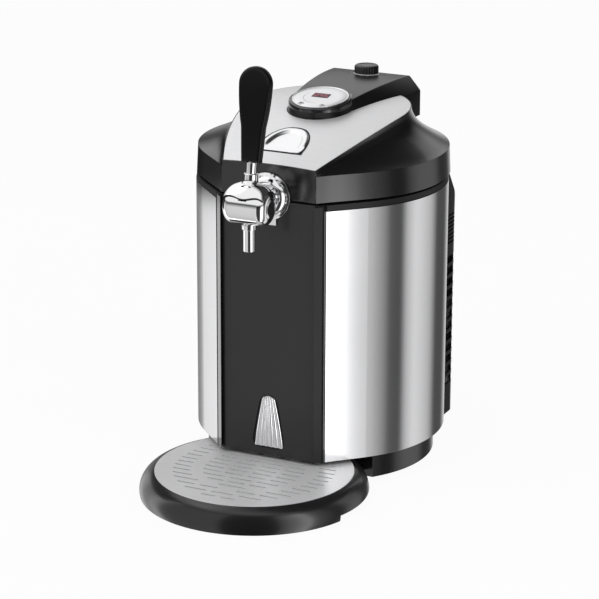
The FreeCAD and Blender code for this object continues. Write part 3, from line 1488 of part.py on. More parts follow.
def make_housing():
    wall = value("housing_wall")
    outer = housing_block()
    inner = housing_block(wall, wall, value("band_top") - 5)
    body = outer.cut(inner)
    body = body.cut(lid_form())
    nose_y = "-nose_centre"
    posts = []
    for degrees in (90, 210, 330):
        x = "disc_radius * 0.66 * %.4f" % math.cos(math.radians(degrees))
        y = "%s + disc_radius * 0.66 * %.4f" % (nose_y, math.sin(math.radians(degrees)))
        posts.append(rod("2", (x, y, "board_height + 1.6"), (x, y, "housing_top - 1")))
    window = block("-window_half - slide_gap", "window_half + slide_gap",
                   "%s - window_deep / 2 + 1.4 - slide_gap" % nose_y,
                   "%s + window_deep / 2 + 1.4 + slide_gap" % nose_y,
                   "housing_top - housing_wall * 2", "housing_top + 1")
    stem_hole = rod("knob_stem + slide_gap", (0, "knob_back", "housing_top - housing_wall * 2"),
                    (0, "knob_back", "housing_top + 1"))
    holes = [window, stem_hole]
    for side in ("", "-"):
        x, y = side + "key_side", "-nose_centre - key_front"
        holes.append(rod("key_radius + seat_gap", (x, y, "housing_top - key_travel - 0.8"),
                         (x, y, "housing_top + 1")))
        holes.append(rod("key_stem + seat_gap", (x, y, "housing_top - housing_wall * 2"),
                         (x, y, "housing_top + 1")))
    node(solid("control_housing", body.fuse(posts).cut(holes).removeSplitter()))


def make_display():
    centre_y = "-nose_centre"
    disc = rod("disc_radius", (0, centre_y, "housing_top"), (0, centre_y, "housing_top + disc_thick"))
    rim = [edge for edge in disc.Edges if edge.BoundBox.ZMin > value("housing_top + disc_thick / 2")]
    disc = disc.makeFillet(value("disc_thick * 0.5"), rim)
    window = block("-window_half - 0.2", "window_half + 0.2",
                   "%s - window_deep / 2 + 1.2" % centre_y, "%s + window_deep / 2 + 1.6" % centre_y,
                   "housing_top - 1", "housing_top + disc_thick + 1")
    keys = [rod("key_radius + seat_gap", (side + "key_side", "-nose_centre - key_front",
                                          "housing_top - 1"),
                (side + "key_side", "-nose_centre - key_front", "housing_top + disc_thick + 1"))
            for side in ("", "-")]
    node(solid("display_bezel", disc.cut([window] + keys)))
    node(box("display_module", "-window_half", "window_half", centre_y + " - window_deep / 2 + 1.4",
             centre_y + " + window_deep / 2 + 1.4", "board_height + 1.6",
             "housing_top + disc_thick - 0.3"))
    board = cylinder("board_disc", "disc_radius * 0.84", 1.6, 0, centre_y, "board_height")
    switches = [cylinder("key_switch_" + name, 2, "key_switch", side + "key_side",
                         "-nose_centre - key_front + 5", "board_height + 1.6")
                for name, side in (("up", ""), ("down", "-"))]
    pads = [box("key_pad_" + name, side + "key_side - 3.4", side + "key_side + 3.4",
                "-nose_centre - key_front - 3", "-nose_centre - key_front + 8",
                "board_height", "board_height + 1.6") for name, side in (("up", ""), ("down", "-"))]
    node(fuse("control_board", [board] + switches + pads))
    for name, side in (("temp_up_button", ""), ("temp_down_button", "-")):
        x, y = side + "key_side", "-nose_centre - key_front"
        cap = cylinder(name + "_cap", "key_radius", "disc_thick + 0.9", x, y, "housing_top - 0.4")
        stem = cylinder(name + "_stem", "key_stem",
                        "housing_top - 0.4 - board_height - 1.6 - key_travel - 0.1", x, y,
                        "board_height + 1.6 + key_travel + 0.1")
        node(fuse(name, [cap, stem]))


def make_knob():
    body = new_body("pressure_knob")
    skirt = new_sketch(body, "knob_skirt", lift="seat_gap * 2")
    add_circle(skirt, 0, 0, "knob_radius")
    pad(body, skirt, "knob_tall - seat_gap * 2")
    top = value("knob_tall")
    round_edges(body, "knob_radius * 0.12", lambda p, e: p.z > top - 0.01, "Chamfer")
    flute = new_sketch(body, "knob_flute", lift="seat_gap * 2")
    add_circle(flute, "knob_radius * 1.03", 0, "knob_radius * 0.085")
    first = pocket(body, flute, "knob_tall * 2", upward=True)
    pattern_ring(body, first, 24)
    stem = new_sketch(body, "knob_stem_section", lift="-knob_reach")
    add_circle(stem, 0, 0, "knob_stem")
    pad(body, stem, "knob_reach + knob_tall / 2")
    place(node(body), 0, "knob_back", "housing_top")


def make_regulator():
    """Pressure regulator under the knob with the gas cartridge screwed to its front."""
    body = new_body("regulator_body")
    drum = new_sketch(body, "regulator_drum", lift="housing_top - housing_wall - regulator_tall")
    add_circle(drum, 0, "knob_back", "regulator_radius")
    pad(body, drum, "regulator_tall")
    bore = new_sketch(body, "regulator_bore", lift="housing_top - housing_wall")
    add_circle(bore, 0, "knob_back", "knob_stem + running_gap")
    pocket(body, bore, "knob_reach + 1")
    node(body)
    front = "knob_back - regulator_radius"
    holder = new_body("cartridge_holder")
    profile = new_sketch(holder, "holder_profile", "YZ_Plane")
    axis_z = "housing_top - housing_wall - regulator_tall + cartridge_radius"
    sleeve = "cartridge_radius - 2"
    add_outline(profile, [(front + " - cartridge_length", axis_z),
                          (front + " - cartridge_length", axis_z + " + %s * 0.7" % sleeve),
                          (front + " - cartridge_length + 4", axis_z + " + " + sleeve),
                          (front + " - 16", axis_z + " + " + sleeve),
                          (front + " - 16", axis_z + " + cartridge_radius"),
                          (front, axis_z + " + cartridge_radius"), (front, axis_z)])
    turn = spin(holder, profile)
    turn.ReferenceAxis = (profile, ["Edge7"])
    node(holder)


def make_liner():
    """Pan under the lid that carries the foam and the seal."""
    foot, flange = value("seam") + 0.7, 2.0
    outline = Part.Face(lid_section(foot + flange, value("lid_wall") + value("seat_gap")))
    pan = outline.extrude(Vector(0, 0, -flange))
    top = "liner_top + liner_wall"
    pan = pan.fuse(rod("liner_radius + liner_wall", (0, 0, foot), (0, 0, top)))
    pan = pan.cut(rod("liner_radius", (0, 0, foot - 1), (0, 0, "liner_top")))
    gap = "shank_radius + 2 * slide_gap"
    arch = rod(gap, (0, "-lid_radius * 1.2", "tap_height"), (0, 0, "tap_height"))
    trough = block("-(%s)" % gap, gap, "-lid_radius * 1.2", 0, "rim_top", "tap_height")
    slots = [block("%slatch_side - latch_width / 2 - 1" % side, "%slatch_side + latch_width / 2 + 1" % side,
                   "-latch_pivot_depth - latch_reach", "-latch_pivot_depth + keeper_back",
                   "rim_top", "rim_top + 8") for side in ("", "-")]
    node(solid("lid_liner", pan.cut([arch, trough] + slots).removeSplitter()))
    foam = rod("liner_radius + liner_wall", (0, 0, top), (0, 0, "%s + lid_foam" % top))
    lever_way = block("-button_stem - 3", "button_stem + 3", "-lid_radius",
                      "-latch_pivot_depth + latch_lever + 10", top, "%s + lid_foam" % top)
    node(solid("lid_insulation", foam.cut(lever_way)))
    seal_top = value("seam") + 0.7
    ring = rod("seal_radius", (0, 0, "rim_top + well_wall / 1.5 + seat_gap"), (0, 0, seal_top))
    ring = ring.cut(rod("seal_radius - seal_width", (0, 0, "rim_top"), (0, 0, "rim_top + 20")))
    node(solid("lid_seal", ring.cut(arch.fuse(trough))))


def make_button():
    """Release button: D-shaped cap with a scooped finger rest and a push stem."""
    cap = button_face(0, value("band_top"))
    cap = cap.extrude(Vector(0, 0, through_lid())).common(dome_solid(value("button_proud")))
    cap = cap.cut(dome_solid(value("button_proud - button_thick")))
    depth = "button_front - (button_front - button_back) * 0.36"
    scoop_radius = value("button_half") * 1.5
    middle_y = -value(depth)
    crest = dome_height(0, middle_y) + value("button_proud")
    scoop = Part.makeSphere(scoop_radius,
                            Vector(0, middle_y, crest + scoop_radius - value("button_scoop")))
    cap = cap.cut(scoop)
    push_y = "-latch_pivot_depth + latch_lever"
    stem = rod("button_stem", (0, push_y, "latch_pivot_height + latch_thick + seat_gap"),
               (0, push_y, crest - value("button_thick") + value("button_proud")))
    node(solid("release_button", cap.fuse(stem)))


def make_latch():
    """Hook frame: a pivot bar, two hooks down to the rim and a lever to the button."""
    pivot, height = "-latch_pivot_depth", "latch_pivot_height"
    front, back = pivot + " - latch_thick / 2", pivot + " + latch_thick / 2"
    reach = "(latch_side + latch_width / 2)"
    toe_top = "rim_top - keeper_lip - seat_gap"
    toe_foot = toe_top + " - latch_thick * 0.8"
    bar = rod("latch_pin", ("-%s - 2 * latch_lug" % reach, pivot, height),
              ("%s + 2 * latch_lug" % reach, pivot, height))
    parts = [block("-" + reach, reach, front, back, height + " - latch_thick", height + " + latch_thick"),
             block("-1.25 * button_stem", "1.25 * button_stem", pivot,
                   pivot + " + latch_lever + 1.25 * button_stem",
                   height + " + latch_thick / 4", height + " + latch_thick")]
    for side in ("", "-"):
        x_low = "%slatch_side - latch_width / 2" % side
        x_high = "%slatch_side + latch_width / 2" % side
        parts.append(block(x_low, x_high, front, back, toe_foot, height))
        parts.append(block(x_low, x_high, front, pivot + " + keeper_front + seat_gap * 5",
                           toe_foot, toe_top))
    node(solid("latch_hook", bar.fuse(parts).removeSplitter()))


def make_hinge_pin():
    reach = "knuckle_centre_half + 2 * knuckle_gap + 2 * knuckle_width"
    pin = cylinder("pin_shaft", "pin_radius", "2 * (%s)" % reach, "-(%s)" % reach, "hinge_depth",
                   "hinge_height", "x")
    node(pin, "hinge_pin")


# ---- drip tray -------------------------------------------------------------------

def tray_profile(sketch):
    """Half section of the rimmed basin, turned about the tray's own axis."""
    arc_z, arc_r = "rim_arc_height", "rim_arc_radius"
    outer_foot = "rim_arc_centre + sqrt(rim_arc_radius^2 - rim_arc_height^2)"
    crown = "grid_radius + seat_gap"
    crown_z = "%s + sqrt(%s^2 - (%s - rim_arc_centre)^2)" % (arc_z, arc_r, crown)
    inner_r = "rim_arc_radius - tray_wall"
    inner_foot = "rim_arc_centre + sqrt((%s)^2 - rim_arc_height^2)" % inner_r
    wall_out = "grid_radius - tray_ledge + tray_wall"
    inner_top = "%s + sqrt((%s)^2 - (%s - rim_arc_centre)^2)" % (arc_z, inner_r, wall_out)
    ledge = "grid_top - grid_thick"
    wall_in = "grid_radius - tray_ledge"
    add_outline(sketch, [
        (0, "tray_floor"), (wall_out, "tray_floor"), (wall_out, inner_top, inner_r, 1),
        (inner_foot, 0), (outer_foot, 0, arc_r, -1),
        (crown, crown_z), (crown, ledge), (wall_in, ledge),
        (wall_in, "tray_floor + tray_wall"), (0, "tray_floor + tray_wall")])


def make_tray():
    body = new_body("drip_tray")
    profile = new_sketch(body, "tray_profile", "XZ_Plane")
    tray_profile(profile)
    spin(body, profile)
    back = "tray_depth - base_front - seat_gap"
    trim = new_sketch(body, "tray_rear_cut")
    reach = "rim_arc_centre + 2 * rim_arc_radius"
    add_box(trim, "-(%s)" % reach, reach, back, reach)
    pocket(body, trim, "grid_top * 2", upward=True)
    wall = new_sketch(body, "tray_rear_wall", lift="tray_floor")
    half = "sqrt((grid_radius - tray_ledge + tray_wall)^2 - (%s)^2)" % back
    add_box(wall, "-(%s)" % half, half, back + " - tray_wall", back)
    pad(body, wall, "grid_top - grid_thick - tray_floor")
    lift = new_sketch(body, "skirt_lift_band")
    inner = "grid_radius - tray_ledge + tray_wall + seat_gap"
    front = "-skirt_step"
    for sign, turn in (("", -1), ("-", 1)):
        def at(radius, y):
            return ("%ssqrt((%s)^2 - (%s)^2)" % (sign, radius, y), y)
        add_outline(lift, [at(reach, front) + (reach, turn), at(reach, back),
                           at(inner, back) + (inner, -turn), at(inner, front)])
    pocket(body, lift, "skirt_lift", upward=True)
    feet = new_sketch(body, "tray_feet")
    for sign in ("", "-"):
        add_circle(feet, sign + "tray_foot_side", back + " - tray_foot_back", "tray_foot_radius")
    pad(body, feet, "tray_floor + tray_wall / 2")
    for sign in ("", "-"):
        grip = new_sketch(body, "finger_grip" + ("_left" if sign else "_right"), "YZ_Plane",
                          "%s(rim_arc_centre + rim_arc_radius + 2)" % sign)
        arch = "(grip_half^2 + (grip_height * 0.6)^2) / (grip_height * 1.2)"
        near, far, knee = "-grip_front - grip_half", "-grip_front + grip_half", "grip_height * 0.4"
        add_outline(grip, [(near, -1), (far, -1), (far, knee, arch, 1), (near, knee)])
        pocket(body, grip, "rim_arc_radius - 3.5", upward=bool(sign))
    place(node(body), 0, "-tray_depth", 0)


def grid_slots():
    """Slots of the drip grid: rows along X in an inner disc and an outer ring."""
    pitch, half = value("slot_row_pitch"), value("slot_width") / 2
    inner, gap = value("inner_slots"), value("outer_slots")
    edge, back = value("slots_edge"), value("tray_depth - base_front - seat_gap")
    longest = value("slot_longest")
    rows = int(edge / pitch)
    slots = []

    def split(left, right, y):
        count = max(1, round((right - left) / longest))
        step = (right - left) / count
        bridge = half * 2.2
        for i in range(count):
            slots.append((left + i * step + bridge, left + (i + 1) * step - bridge, y))
    for row in range(-rows, rows + 1):
        y = row * pitch
        if y > back - value("slot_row_pitch") or edge <= abs(y):
            continue
        far = math.sqrt(edge * edge - y * y)
        if abs(y) >= gap:
            split(-far, far, y)
            continue
        near = math.sqrt(gap * gap - y * y)
        if far - near > 4 * half:
            split(near, far, y)
            split(-far, -near, y)
        if abs(y) < inner:
            core = math.sqrt(inner * inner - y * y)
            split(-core, core, y)
    return slots


def make_grid():
    """Slotted steel plate, one solid cut by code because every slot differs."""
    radius, thick = value("grid_radius"), value("grid_thick")
    bottom = value("grid_top") - thick
    back = value("tray_depth - base_front - 2 * seat_gap - tray_wall")
    half = value("slot_width") / 2
    plate = Part.makeCylinder(radius, thick, Vector(0, 0, bottom))
    cutter = []
    for left, right, y in grid_slots():
        if right - left < 2 * half:
            continue
        a, b = left + half, right - half
        outline = Part.Wire([
            Part.makeLine(Vector(a, y - half, bottom - 1), Vector(b, y - half, bottom - 1)),
            Part.Arc(Vector(b, y - half, bottom - 1), Vector(b + half, y, bottom - 1),
                     Vector(b, y + half, bottom - 1)).toShape(),
            Part.makeLine(Vector(b, y + half, bottom - 1), Vector(a, y + half, bottom - 1)),
            Part.Arc(Vector(a, y + half, bottom - 1), Vector(a - half, y, bottom - 1),
                     Vector(a, y - half, bottom - 1)).toShape()])
        cutter.append(Part.Face(outline).extrude(Vector(0, 0, thick + 2)))
    reach = radius * 1.1
    cutter.append(Part.makeBox(2 * reach, reach, thick + 2, Vector(-reach, back, bottom - 1)))
    place(node(solid("drip_grid", plate.cut(cutter))), 0, "-tray_depth", 0)


# ---- assembly --------------------------------------------------------------------

make_pedestal()
make_feet()
make_shell()
make_steel("left_steel_panel", "-")
make_steel("right_steel_panel", "")
make_front_panel()
make_badge()
make_rim()
make_well()
make_foam()
make_cold_block()
make_heat_sink()
make_fan()
make_power_supply()
make_cover()
make_inlet()
make_cover_screws()
make_flange()
make_coupling_nut()
make_shank()
make_coupler()
make_barrel()
make_caps()
make_spout()
make_plug()
make_hood()
make_ferrule()
make_handle()
make_lid_shell()
make_top_plate()
make_housing()
make_display()
make_knob()
make_regulator()
make_liner()
make_button()
make_latch()
make_hinge_pin()
make_tray()
make_grid()
doc.recompute()

broken = [item.Name for item in doc.Objects if {"Invalid", "Error"} & set(item.State)]
broken += [item.Label for item in NODES if item.Shape.isNull() or not item.Shape.isValid()]
if broken:
    raise RuntimeError("not built: " + ", ".join(broken))

os.makedirs("parts", exist_ok=True)
for item in NODES:
    item.Shape.exportStep("parts/%s.step" % item.Label)
    print("%-20s %9.0f mm3" % (item.Label, item.Shape.Volume))
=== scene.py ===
# %% [markdown]
# # A countertop mini keg beer dispenser
#
# The dispenser is an insulated drum with brushed steel flanks and a black front, a
# hinged lid with a silver top, a chrome tap and a round drip tray. The solid model is
# already packed as a fixed frame in metres, so this lesson only gives it its looks:
# smooth skins, real finishes, and the small trim that a solid model leaves out.
# It could all be one mesh with painted images, but separate pieces with procedural
# finishes keep every part movable and sharp from any distance.

# %% Load the frame
import json
import math
import bmesh
import bpy
from mathutils import Matrix, Vector


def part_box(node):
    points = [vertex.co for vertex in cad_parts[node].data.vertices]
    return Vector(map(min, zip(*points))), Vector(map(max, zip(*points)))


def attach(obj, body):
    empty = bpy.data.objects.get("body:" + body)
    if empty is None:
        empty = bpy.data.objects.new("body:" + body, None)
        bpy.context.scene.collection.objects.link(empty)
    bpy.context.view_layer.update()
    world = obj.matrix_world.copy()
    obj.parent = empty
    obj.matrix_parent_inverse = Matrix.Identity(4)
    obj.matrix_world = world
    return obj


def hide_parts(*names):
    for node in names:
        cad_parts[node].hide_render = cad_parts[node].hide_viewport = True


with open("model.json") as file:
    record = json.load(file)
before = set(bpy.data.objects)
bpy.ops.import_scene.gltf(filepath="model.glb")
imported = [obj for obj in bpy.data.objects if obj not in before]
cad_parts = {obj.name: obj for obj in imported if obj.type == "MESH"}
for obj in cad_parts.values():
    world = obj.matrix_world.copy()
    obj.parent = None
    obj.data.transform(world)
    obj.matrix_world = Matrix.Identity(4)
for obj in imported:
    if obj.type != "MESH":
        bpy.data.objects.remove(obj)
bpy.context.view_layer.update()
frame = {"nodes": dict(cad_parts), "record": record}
MM = 0.001

# %% [markdown]
# ## Camera
#
# A long lens from the front right, a little above the lid, keeps the drum's sides
# nearly parallel. The camera could be aimed with a Track To constraint, but writing
# its three axes by hand also gives it the slight roll that a tripod head has.

# %% Camera
AZIMUTH, ELEVATION, ROLL = math.radians(25.03), math.radians(17.61), math.radians(0.21)
DISTANCE, AIM_HEIGHT, AIM_SIDE = 2.7925, 0.160, -0.0236
FOCAL_PIXELS, FRAME_PIXELS, SENSOR = 2630.3, 599, 36

back = Vector((math.sin(AZIMUTH) * math.cos(ELEVATION),
               -math.cos(AZIMUTH) * math.cos(ELEVATION), math.sin(ELEVATION)))
level = Vector((math.cos(AZIMUTH), math.sin(AZIMUTH), 0))
upright = back.cross(level)
across = level * math.cos(ROLL) + upright * math.sin(ROLL)
above = upright * math.cos(ROLL) - level * math.sin(ROLL)
camera = bpy.data.objects.new("camera", bpy.data.cameras.new("camera"))
bpy.context.scene.collection.objects.link(camera)
camera.data.sensor_width = SENSOR
camera.data.lens = SENSOR * FOCAL_PIXELS / FRAME_PIXELS
station = Vector((0, 0, AIM_HEIGHT)) + level * AIM_SIDE + back * DISTANCE
axes = Matrix((across, above, back)).transposed().to_4x4()
camera.matrix_world = Matrix.Translation(station) @ axes
bpy.context.scene.camera = camera
print("lens %.1f mm" % camera.data.lens)

# %% [markdown]
# ## Shader arithmetic
#
# A procedural finish is mostly arithmetic on masks and noises. Adding every Math node
# by hand hides the idea, so one small class wraps a socket: ordinary Python operators
# on it add the nodes, and `node` adds any other kind.

# %% Wires and shader trees
class Wire:
    """One output of a node, with Python's operators, also reflected, adding Math nodes."""

    def __init__(self, nodes, socket):
        self.nodes = nodes
        self.socket = socket

    def _math(self, operation, first, second):
        return self.nodes.node("ShaderNodeMath", {"operation": operation}, {0: first, 1: second})

    def __add__(self, other):
        return self._math("ADD", self, other)

    def __radd__(self, other):
        return self._math("ADD", other, self)

    def __sub__(self, other):
        return self._math("SUBTRACT", self, other)

    def __rsub__(self, other):
        return self._math("SUBTRACT", other, self)

    def __mul__(self, other):
        return self._math("MULTIPLY", self, other)

    def __rmul__(self, other):
        return self._math("MULTIPLY", other, self)

    def __truediv__(self, other):
        return self._math("DIVIDE", self, other)

    def __rtruediv__(self, other):
        return self._math("DIVIDE", other, self)

    def clamped(self):
        return self.nodes.node("ShaderNodeClamp", {}, {"Value": self})

    def rising(self, start, rate):
        """0 up to a start, from there growing by rate per unit, and at most 1."""
        return ((self - start) * rate).clamped()

    def between(self, low, high):
        """The wire's 0 to 1 spread over low to high."""
        return self * (high - low) + low

    def sister(self, output):
        """Another output of the same node."""
        return Wire(self.nodes, self.socket.node.outputs[output])


class Nodes:
    """A shader tree under construction."""

    def __init__(self, tree):
        self.tree = tree

    def node(self, kind, settings, inputs, output=0):
        """Add a node, set it up, set or link its inputs, and hand back one output."""
        item = self.tree.nodes.new(kind)
        for key, setting in settings.items():
            if key == "stops":
                self._stops(item.color_ramp.elements, setting)
            else:
                setattr(item, key, setting)
        for key, given in inputs.items():
            if isinstance(given, Wire):
                self.tree.links.new(given.socket, item.inputs[key])
            else:
                item.inputs[key].default_value = given
        return Wire(self, item.outputs[output])

    def _stops(self, elements, stops):
        while len(elements) > 1:
            elements.remove(elements[-1])
        for index, (position, tone) in enumerate(stops):
            element = elements.new(position) if index else elements[0]
            element.position, element.color = position, (*tone[:3], 1)

    def place(self, scale=(1, 1, 1)):
        """Object coordinates in metres, times a scale for each axis."""
        coordinates = self.node("ShaderNodeTexCoord", {}, {}, "Object")
        return self.node("ShaderNodeMapping", {}, {"Vector": coordinates, "Scale": scale})

    def position(self):
        """Object coordinates in metres as three wires: east, north and height."""
        spot = self.node("ShaderNodeTexCoord", {}, {}, "Object")
        east = self.node("ShaderNodeSeparateXYZ", {}, {"Vector": spot})
        return east, east.sister("Y"), east.sister("Z")

    def noise(self, vector, scale, detail, roughness=0.5):
        return self.node("ShaderNodeTexNoise", {}, {"Vector": vector, "Scale": scale, "Detail": detail,
                                                    "Roughness": roughness}, "Fac")

    def ramp(self, wire, stops):
        """Colour of a wire, from (position, colour) stops."""
        return self.node("ShaderNodeValToRGB", {"stops": stops}, {"Fac": wire}, "Color")


class Finish(Nodes):
    """A material under construction, with one Principled shader."""

    def __init__(self, name, **constants):
        self.material = bpy.data.materials.new(name)
        self.material.use_nodes = True
        super().__init__(self.material.node_tree)
        self.shader = self.tree.nodes["Principled BSDF"]
        for socket, amount in constants.items():
            self.shader.inputs[socket.replace("_", " ")].default_value = amount

    def feed(self, socket, wire):
        self.tree.links.new(wire.socket, self.shader.inputs[socket])


def grey(amount):
    return (amount, amount, amount, 1)


print("shader helpers ready")

# %% [markdown]
# ## Cards round the stage
#
# Steel looks like steel only when it has something to mirror, so the dispenser stands
# among tall cards that draw upright bands in its flanks. Single lamps can't be shaped
# that way. One round wall of cards, seen only by reflections, carries all bands as a
# ramp round the azimuth. It fades above the drum, has a dark gap at the far left, and
# two pale patches high up on the left and in front, for the lid and the tap.

# %% Cards
CARD_RADIUS, CARD_FOOT, CARD_TOP, CARD_SIDES = 0.45, -0.55, 0.62, 96
# degrees round the axis, 0 in front and growing to the right, with the glow there
CARD_STOPS = ((-180, 0.80), (-122, 0.25), (-107, 0.40), (-100, 1.08), (-90, 1.15),
              (-76, 0.80), (-64, 1.10), (-57, 2.0), (-50, 2.0), (-42, 0.50), (-3, 0.80),
              (1, 0.04), (29, 0.04), (33, 0.90), (43, 2.0), (50, 3.6), (54, 3.6), (57, 1.10),
              (60, 0.76), (66, 0.56), (75, 0.32), (80, 0.12), (91, 0.07), (97, 0.60),
              (106, 0.92), (114, 0.84), (127, 0.60), (133, 0.34), (138, 0.08), (158, 0.08),
              (168, 0.50), (180, 0.80))
# each mask: where it starts in metres, how fast it rises, and how much it takes away
FADE_FROM, FADE_RATE, FADE_SHARE = 0.32, 11, 0.93
GAP_FROM, GAP_RATE, GAP_SHARE = 0.165, 40, 0.95
GAP_LEFT, GAP_LEFT_RATE = 0.33, 30
PATCH_GLOW = 0.95
LEFT_FROM, LEFT_RATE, LEFT_EDGE_RATE = 0.40, 12, 5
LEFT_EAST, LEFT_NORTH = -0.85, 0.5
AHEAD_FROM, AHEAD_RATE, AHEAD_REACH, AHEAD_EDGE_RATE = 0.42, 20, 0.15, 8


def place_mesh(name, fill, finish):
    """An object at the origin whose mesh is written by fill(bm)."""
    bm = bmesh.new()
    fill(bm)
    mesh = bpy.data.meshes.new(name)
    bm.to_mesh(mesh)
    bm.free()
    mesh.materials.append(finish.material)
    item = bpy.data.objects.new(name, mesh)
    bpy.context.scene.collection.objects.link(item)
    return item


def azimuth(finish):
    """0 to 1 round the drum's axis: 0.5 at the front, growing towards the right."""
    east, north, _ = finish.position()
    angle = finish.node("ShaderNodeMath", {"operation": "ARCTAN2"}, {0: east, 1: north * -1})
    return angle / math.tau + 0.5


def card_wall(bm):
    rings = [[bm.verts.new((CARD_RADIUS * math.sin(math.tau * i / CARD_SIDES),
                            -CARD_RADIUS * math.cos(math.tau * i / CARD_SIDES), z))
              for i in range(CARD_SIDES)] for z in (CARD_FOOT, CARD_TOP)]
    for i in range(CARD_SIDES):
        j = (i + 1) % CARD_SIDES
        bm.faces.new((rings[0][j], rings[0][i], rings[1][i], rings[1][j]))


cards = Finish("card_glow", Base_Color=grey(0), Roughness=1, Emission_Strength=1.0)
bands = cards.ramp(azimuth(cards), [(angle / 360 + 0.5, (glow,) * 3) for angle, glow in CARD_STOPS])
east, north, height = cards.position()
fade = height.rising(FADE_FROM, FADE_RATE) * FADE_SHARE
gap = height.rising(GAP_FROM, GAP_RATE) * (east * -1).rising(GAP_LEFT, GAP_LEFT_RATE) * GAP_SHARE
dimmed = (1 - fade) * (1 - gap)
bands = cards.node("ShaderNodeVectorMath", {"operation": "SCALE"}, {0: bands, "Scale": dimmed}, "Vector")
leftward = north * LEFT_NORTH + east * LEFT_EAST
left_patch = height.rising(LEFT_FROM, LEFT_RATE) * leftward.rising(0, LEFT_EDGE_RATE)
front_patch = height.rising(AHEAD_FROM, AHEAD_RATE) * (north * -1).rising(AHEAD_REACH, AHEAD_EDGE_RATE)
cards.feed("Emission Color", cards.node("ShaderNodeMix", {"data_type": "RGBA"}, {
    "Factor": (left_patch + front_patch).clamped(), "A": bands, "B": grey(PATCH_GLOW)}, "Result"))
tent = place_mesh("card_tent", card_wall, cards)
for unseen in ("visible_camera", "visible_diffuse", "visible_shadow", "visible_transmission"):
    setattr(tent, unseen, False)
print("cards: %d stops round a wall of %.2f m" % (len(CARD_STOPS), CARD_RADIUS))

# %% [markdown]
# ## Floor, lamps and room
#
# The dispenser stands on white paper that runs into a white background. A plain white
# plane would show how unevenly the lamps light it, so the camera meets mostly glow
# there, and the paper's own shading shows only as a faint shadow. Two soft lamps give
# the form. The room is pale, with a bright side and a bright front for reflections.

# %% Floor, lamps and room
PAPER_GLOW, FLOOR_REACH = 0.94, 12
LAMP_AIM = Vector((0, -0.05, 0.2))
BRIGHT_SIDE, SIDE_FROM, SIDE_RATE, SIDE_GLOW = (-0.88, 0.32, 0.35), 0.55, 5.5, 1.15
BRIGHT_FRONT, FRONT_FROM, FRONT_RATE, FRONT_GLOW = (-0.30, -0.75, 0.60), 0.42, 4, 0.95
DARK_GLOW, ROOM_LIGHT = 0.04, 0.55


def seen_directly(nodes):
    """1 for rays from the camera, off a mirror or through glass, 0 for diffuse ones."""
    eye = nodes.node("ShaderNodeLightPath", {}, {}, "Is Camera Ray")
    return (eye + eye.sister("Is Glossy Ray") + eye.sister("Is Transmission Ray")).clamped()


def floor_sheet(bm):
    corners = ((-1, -1), (1, -1), (1, 1), (-1, 1))
    bm.faces.new([bm.verts.new((x * FLOOR_REACH, y * FLOOR_REACH, 0)) for x, y in corners])


def soft_lamp(name, spot, size, energy):
    lamp = bpy.data.objects.new(name, bpy.data.lights.new(name, "AREA"))
    lamp.data.size, lamp.data.energy = size, energy
    bpy.context.scene.collection.objects.link(lamp)
    aim = (LAMP_AIM - Vector(spot)).to_track_quat("-Z", "Y")
    lamp.matrix_world = Matrix.Translation(spot) @ aim.to_matrix().to_4x4()
    lamp.visible_glossy = False


paper = Finish("white_paper", Roughness=0.9)
fibre = paper.noise(paper.place(), 6, 2)
paper.feed("Base Color", paper.ramp(fibre, [(0.3, grey(0.88)), (0.7, grey(0.92))]))
light = paper.node("ShaderNodeEmission", {}, {"Color": grey(1), "Strength": 1.0}, "Emission")
blend = paper.node("ShaderNodeMixShader", {}, {
    0: seen_directly(paper) * PAPER_GLOW, 1: Wire(paper, paper.shader.outputs[0]), 2: light})
paper.tree.links.new(blend.socket, paper.tree.nodes["Material Output"].inputs["Surface"])
floor = place_mesh("floor_sheet", floor_sheet, paper)
floor.visible_glossy = False

soft_lamp("key_lamp", (-1.3, -1.7, 2.2), size=2.3, energy=26)
soft_lamp("side_lamp", (2.0, -0.9, 1.5), size=1.4, energy=10)

world = bpy.data.worlds.new("pale_room")
bpy.context.scene.world = world
world.use_nodes = True
room = Nodes(world.node_tree)
ray = room.node("ShaderNodeTexCoord", {}, {}, "Generated")
sideways, ahead = [room.node("ShaderNodeVectorMath", {"operation": "DOT_PRODUCT"},
                             {0: ray, 1: bright}, "Value") for bright in (BRIGHT_SIDE, BRIGHT_FRONT)]
reflected = (sideways.rising(SIDE_FROM, SIDE_RATE) * SIDE_GLOW
             + ahead.rising(FRONT_FROM, FRONT_RATE) * FRONT_GLOW + DARK_GLOW)
seen = seen_directly(room)
background = room.tree.nodes["Background"]
background.inputs["Color"].default_value = grey(1)
room.tree.links.new((seen * reflected + (1 - seen) * ROOM_LIGHT).socket, background.inputs["Strength"])
bpy.context.scene.view_settings.view_transform = "Standard"
print("stage: paper floor, two lamps, pale room")

# %% [markdown]
# ## Finishes
#
# Moulded plastic is never one flat colour: its skin has a fine spark-eroded grain and
# the gloss drifts over a hand's width. Metal is made by brushing, satin blasting or
# plating. Each finish is worked out from position on the object, so it stays the
# same size on every piece, and a Bevel node softens the edges of the solid model.

# %% Finish recipes
NOISE_LOW, NOISE_HIGH = 0.3, 0.7
# noise repeats per metre
PLASTIC_DRIFT, METAL_DRIFT, PLATE_DRIFT, PLATE_PEEL = 14, 9, 30, 260
# relief and edge radii in metres
GRAIN_DEPTH, LINE_DEPTH, PEEL_DEPTH = 0.00006, 0.00002, 0.00005
METAL_EDGE, PLATE_EDGE = 0.0004, 0.0005


def shaded(finish, wire, tone, dark, pale):
    """Base colour between two shares of a tone, following a noise."""
    stops = [(NOISE_LOW, [part * dark for part in tone]), (NOISE_HIGH, [part * pale for part in tone])]
    finish.feed("Base Color", finish.ramp(wire, stops))


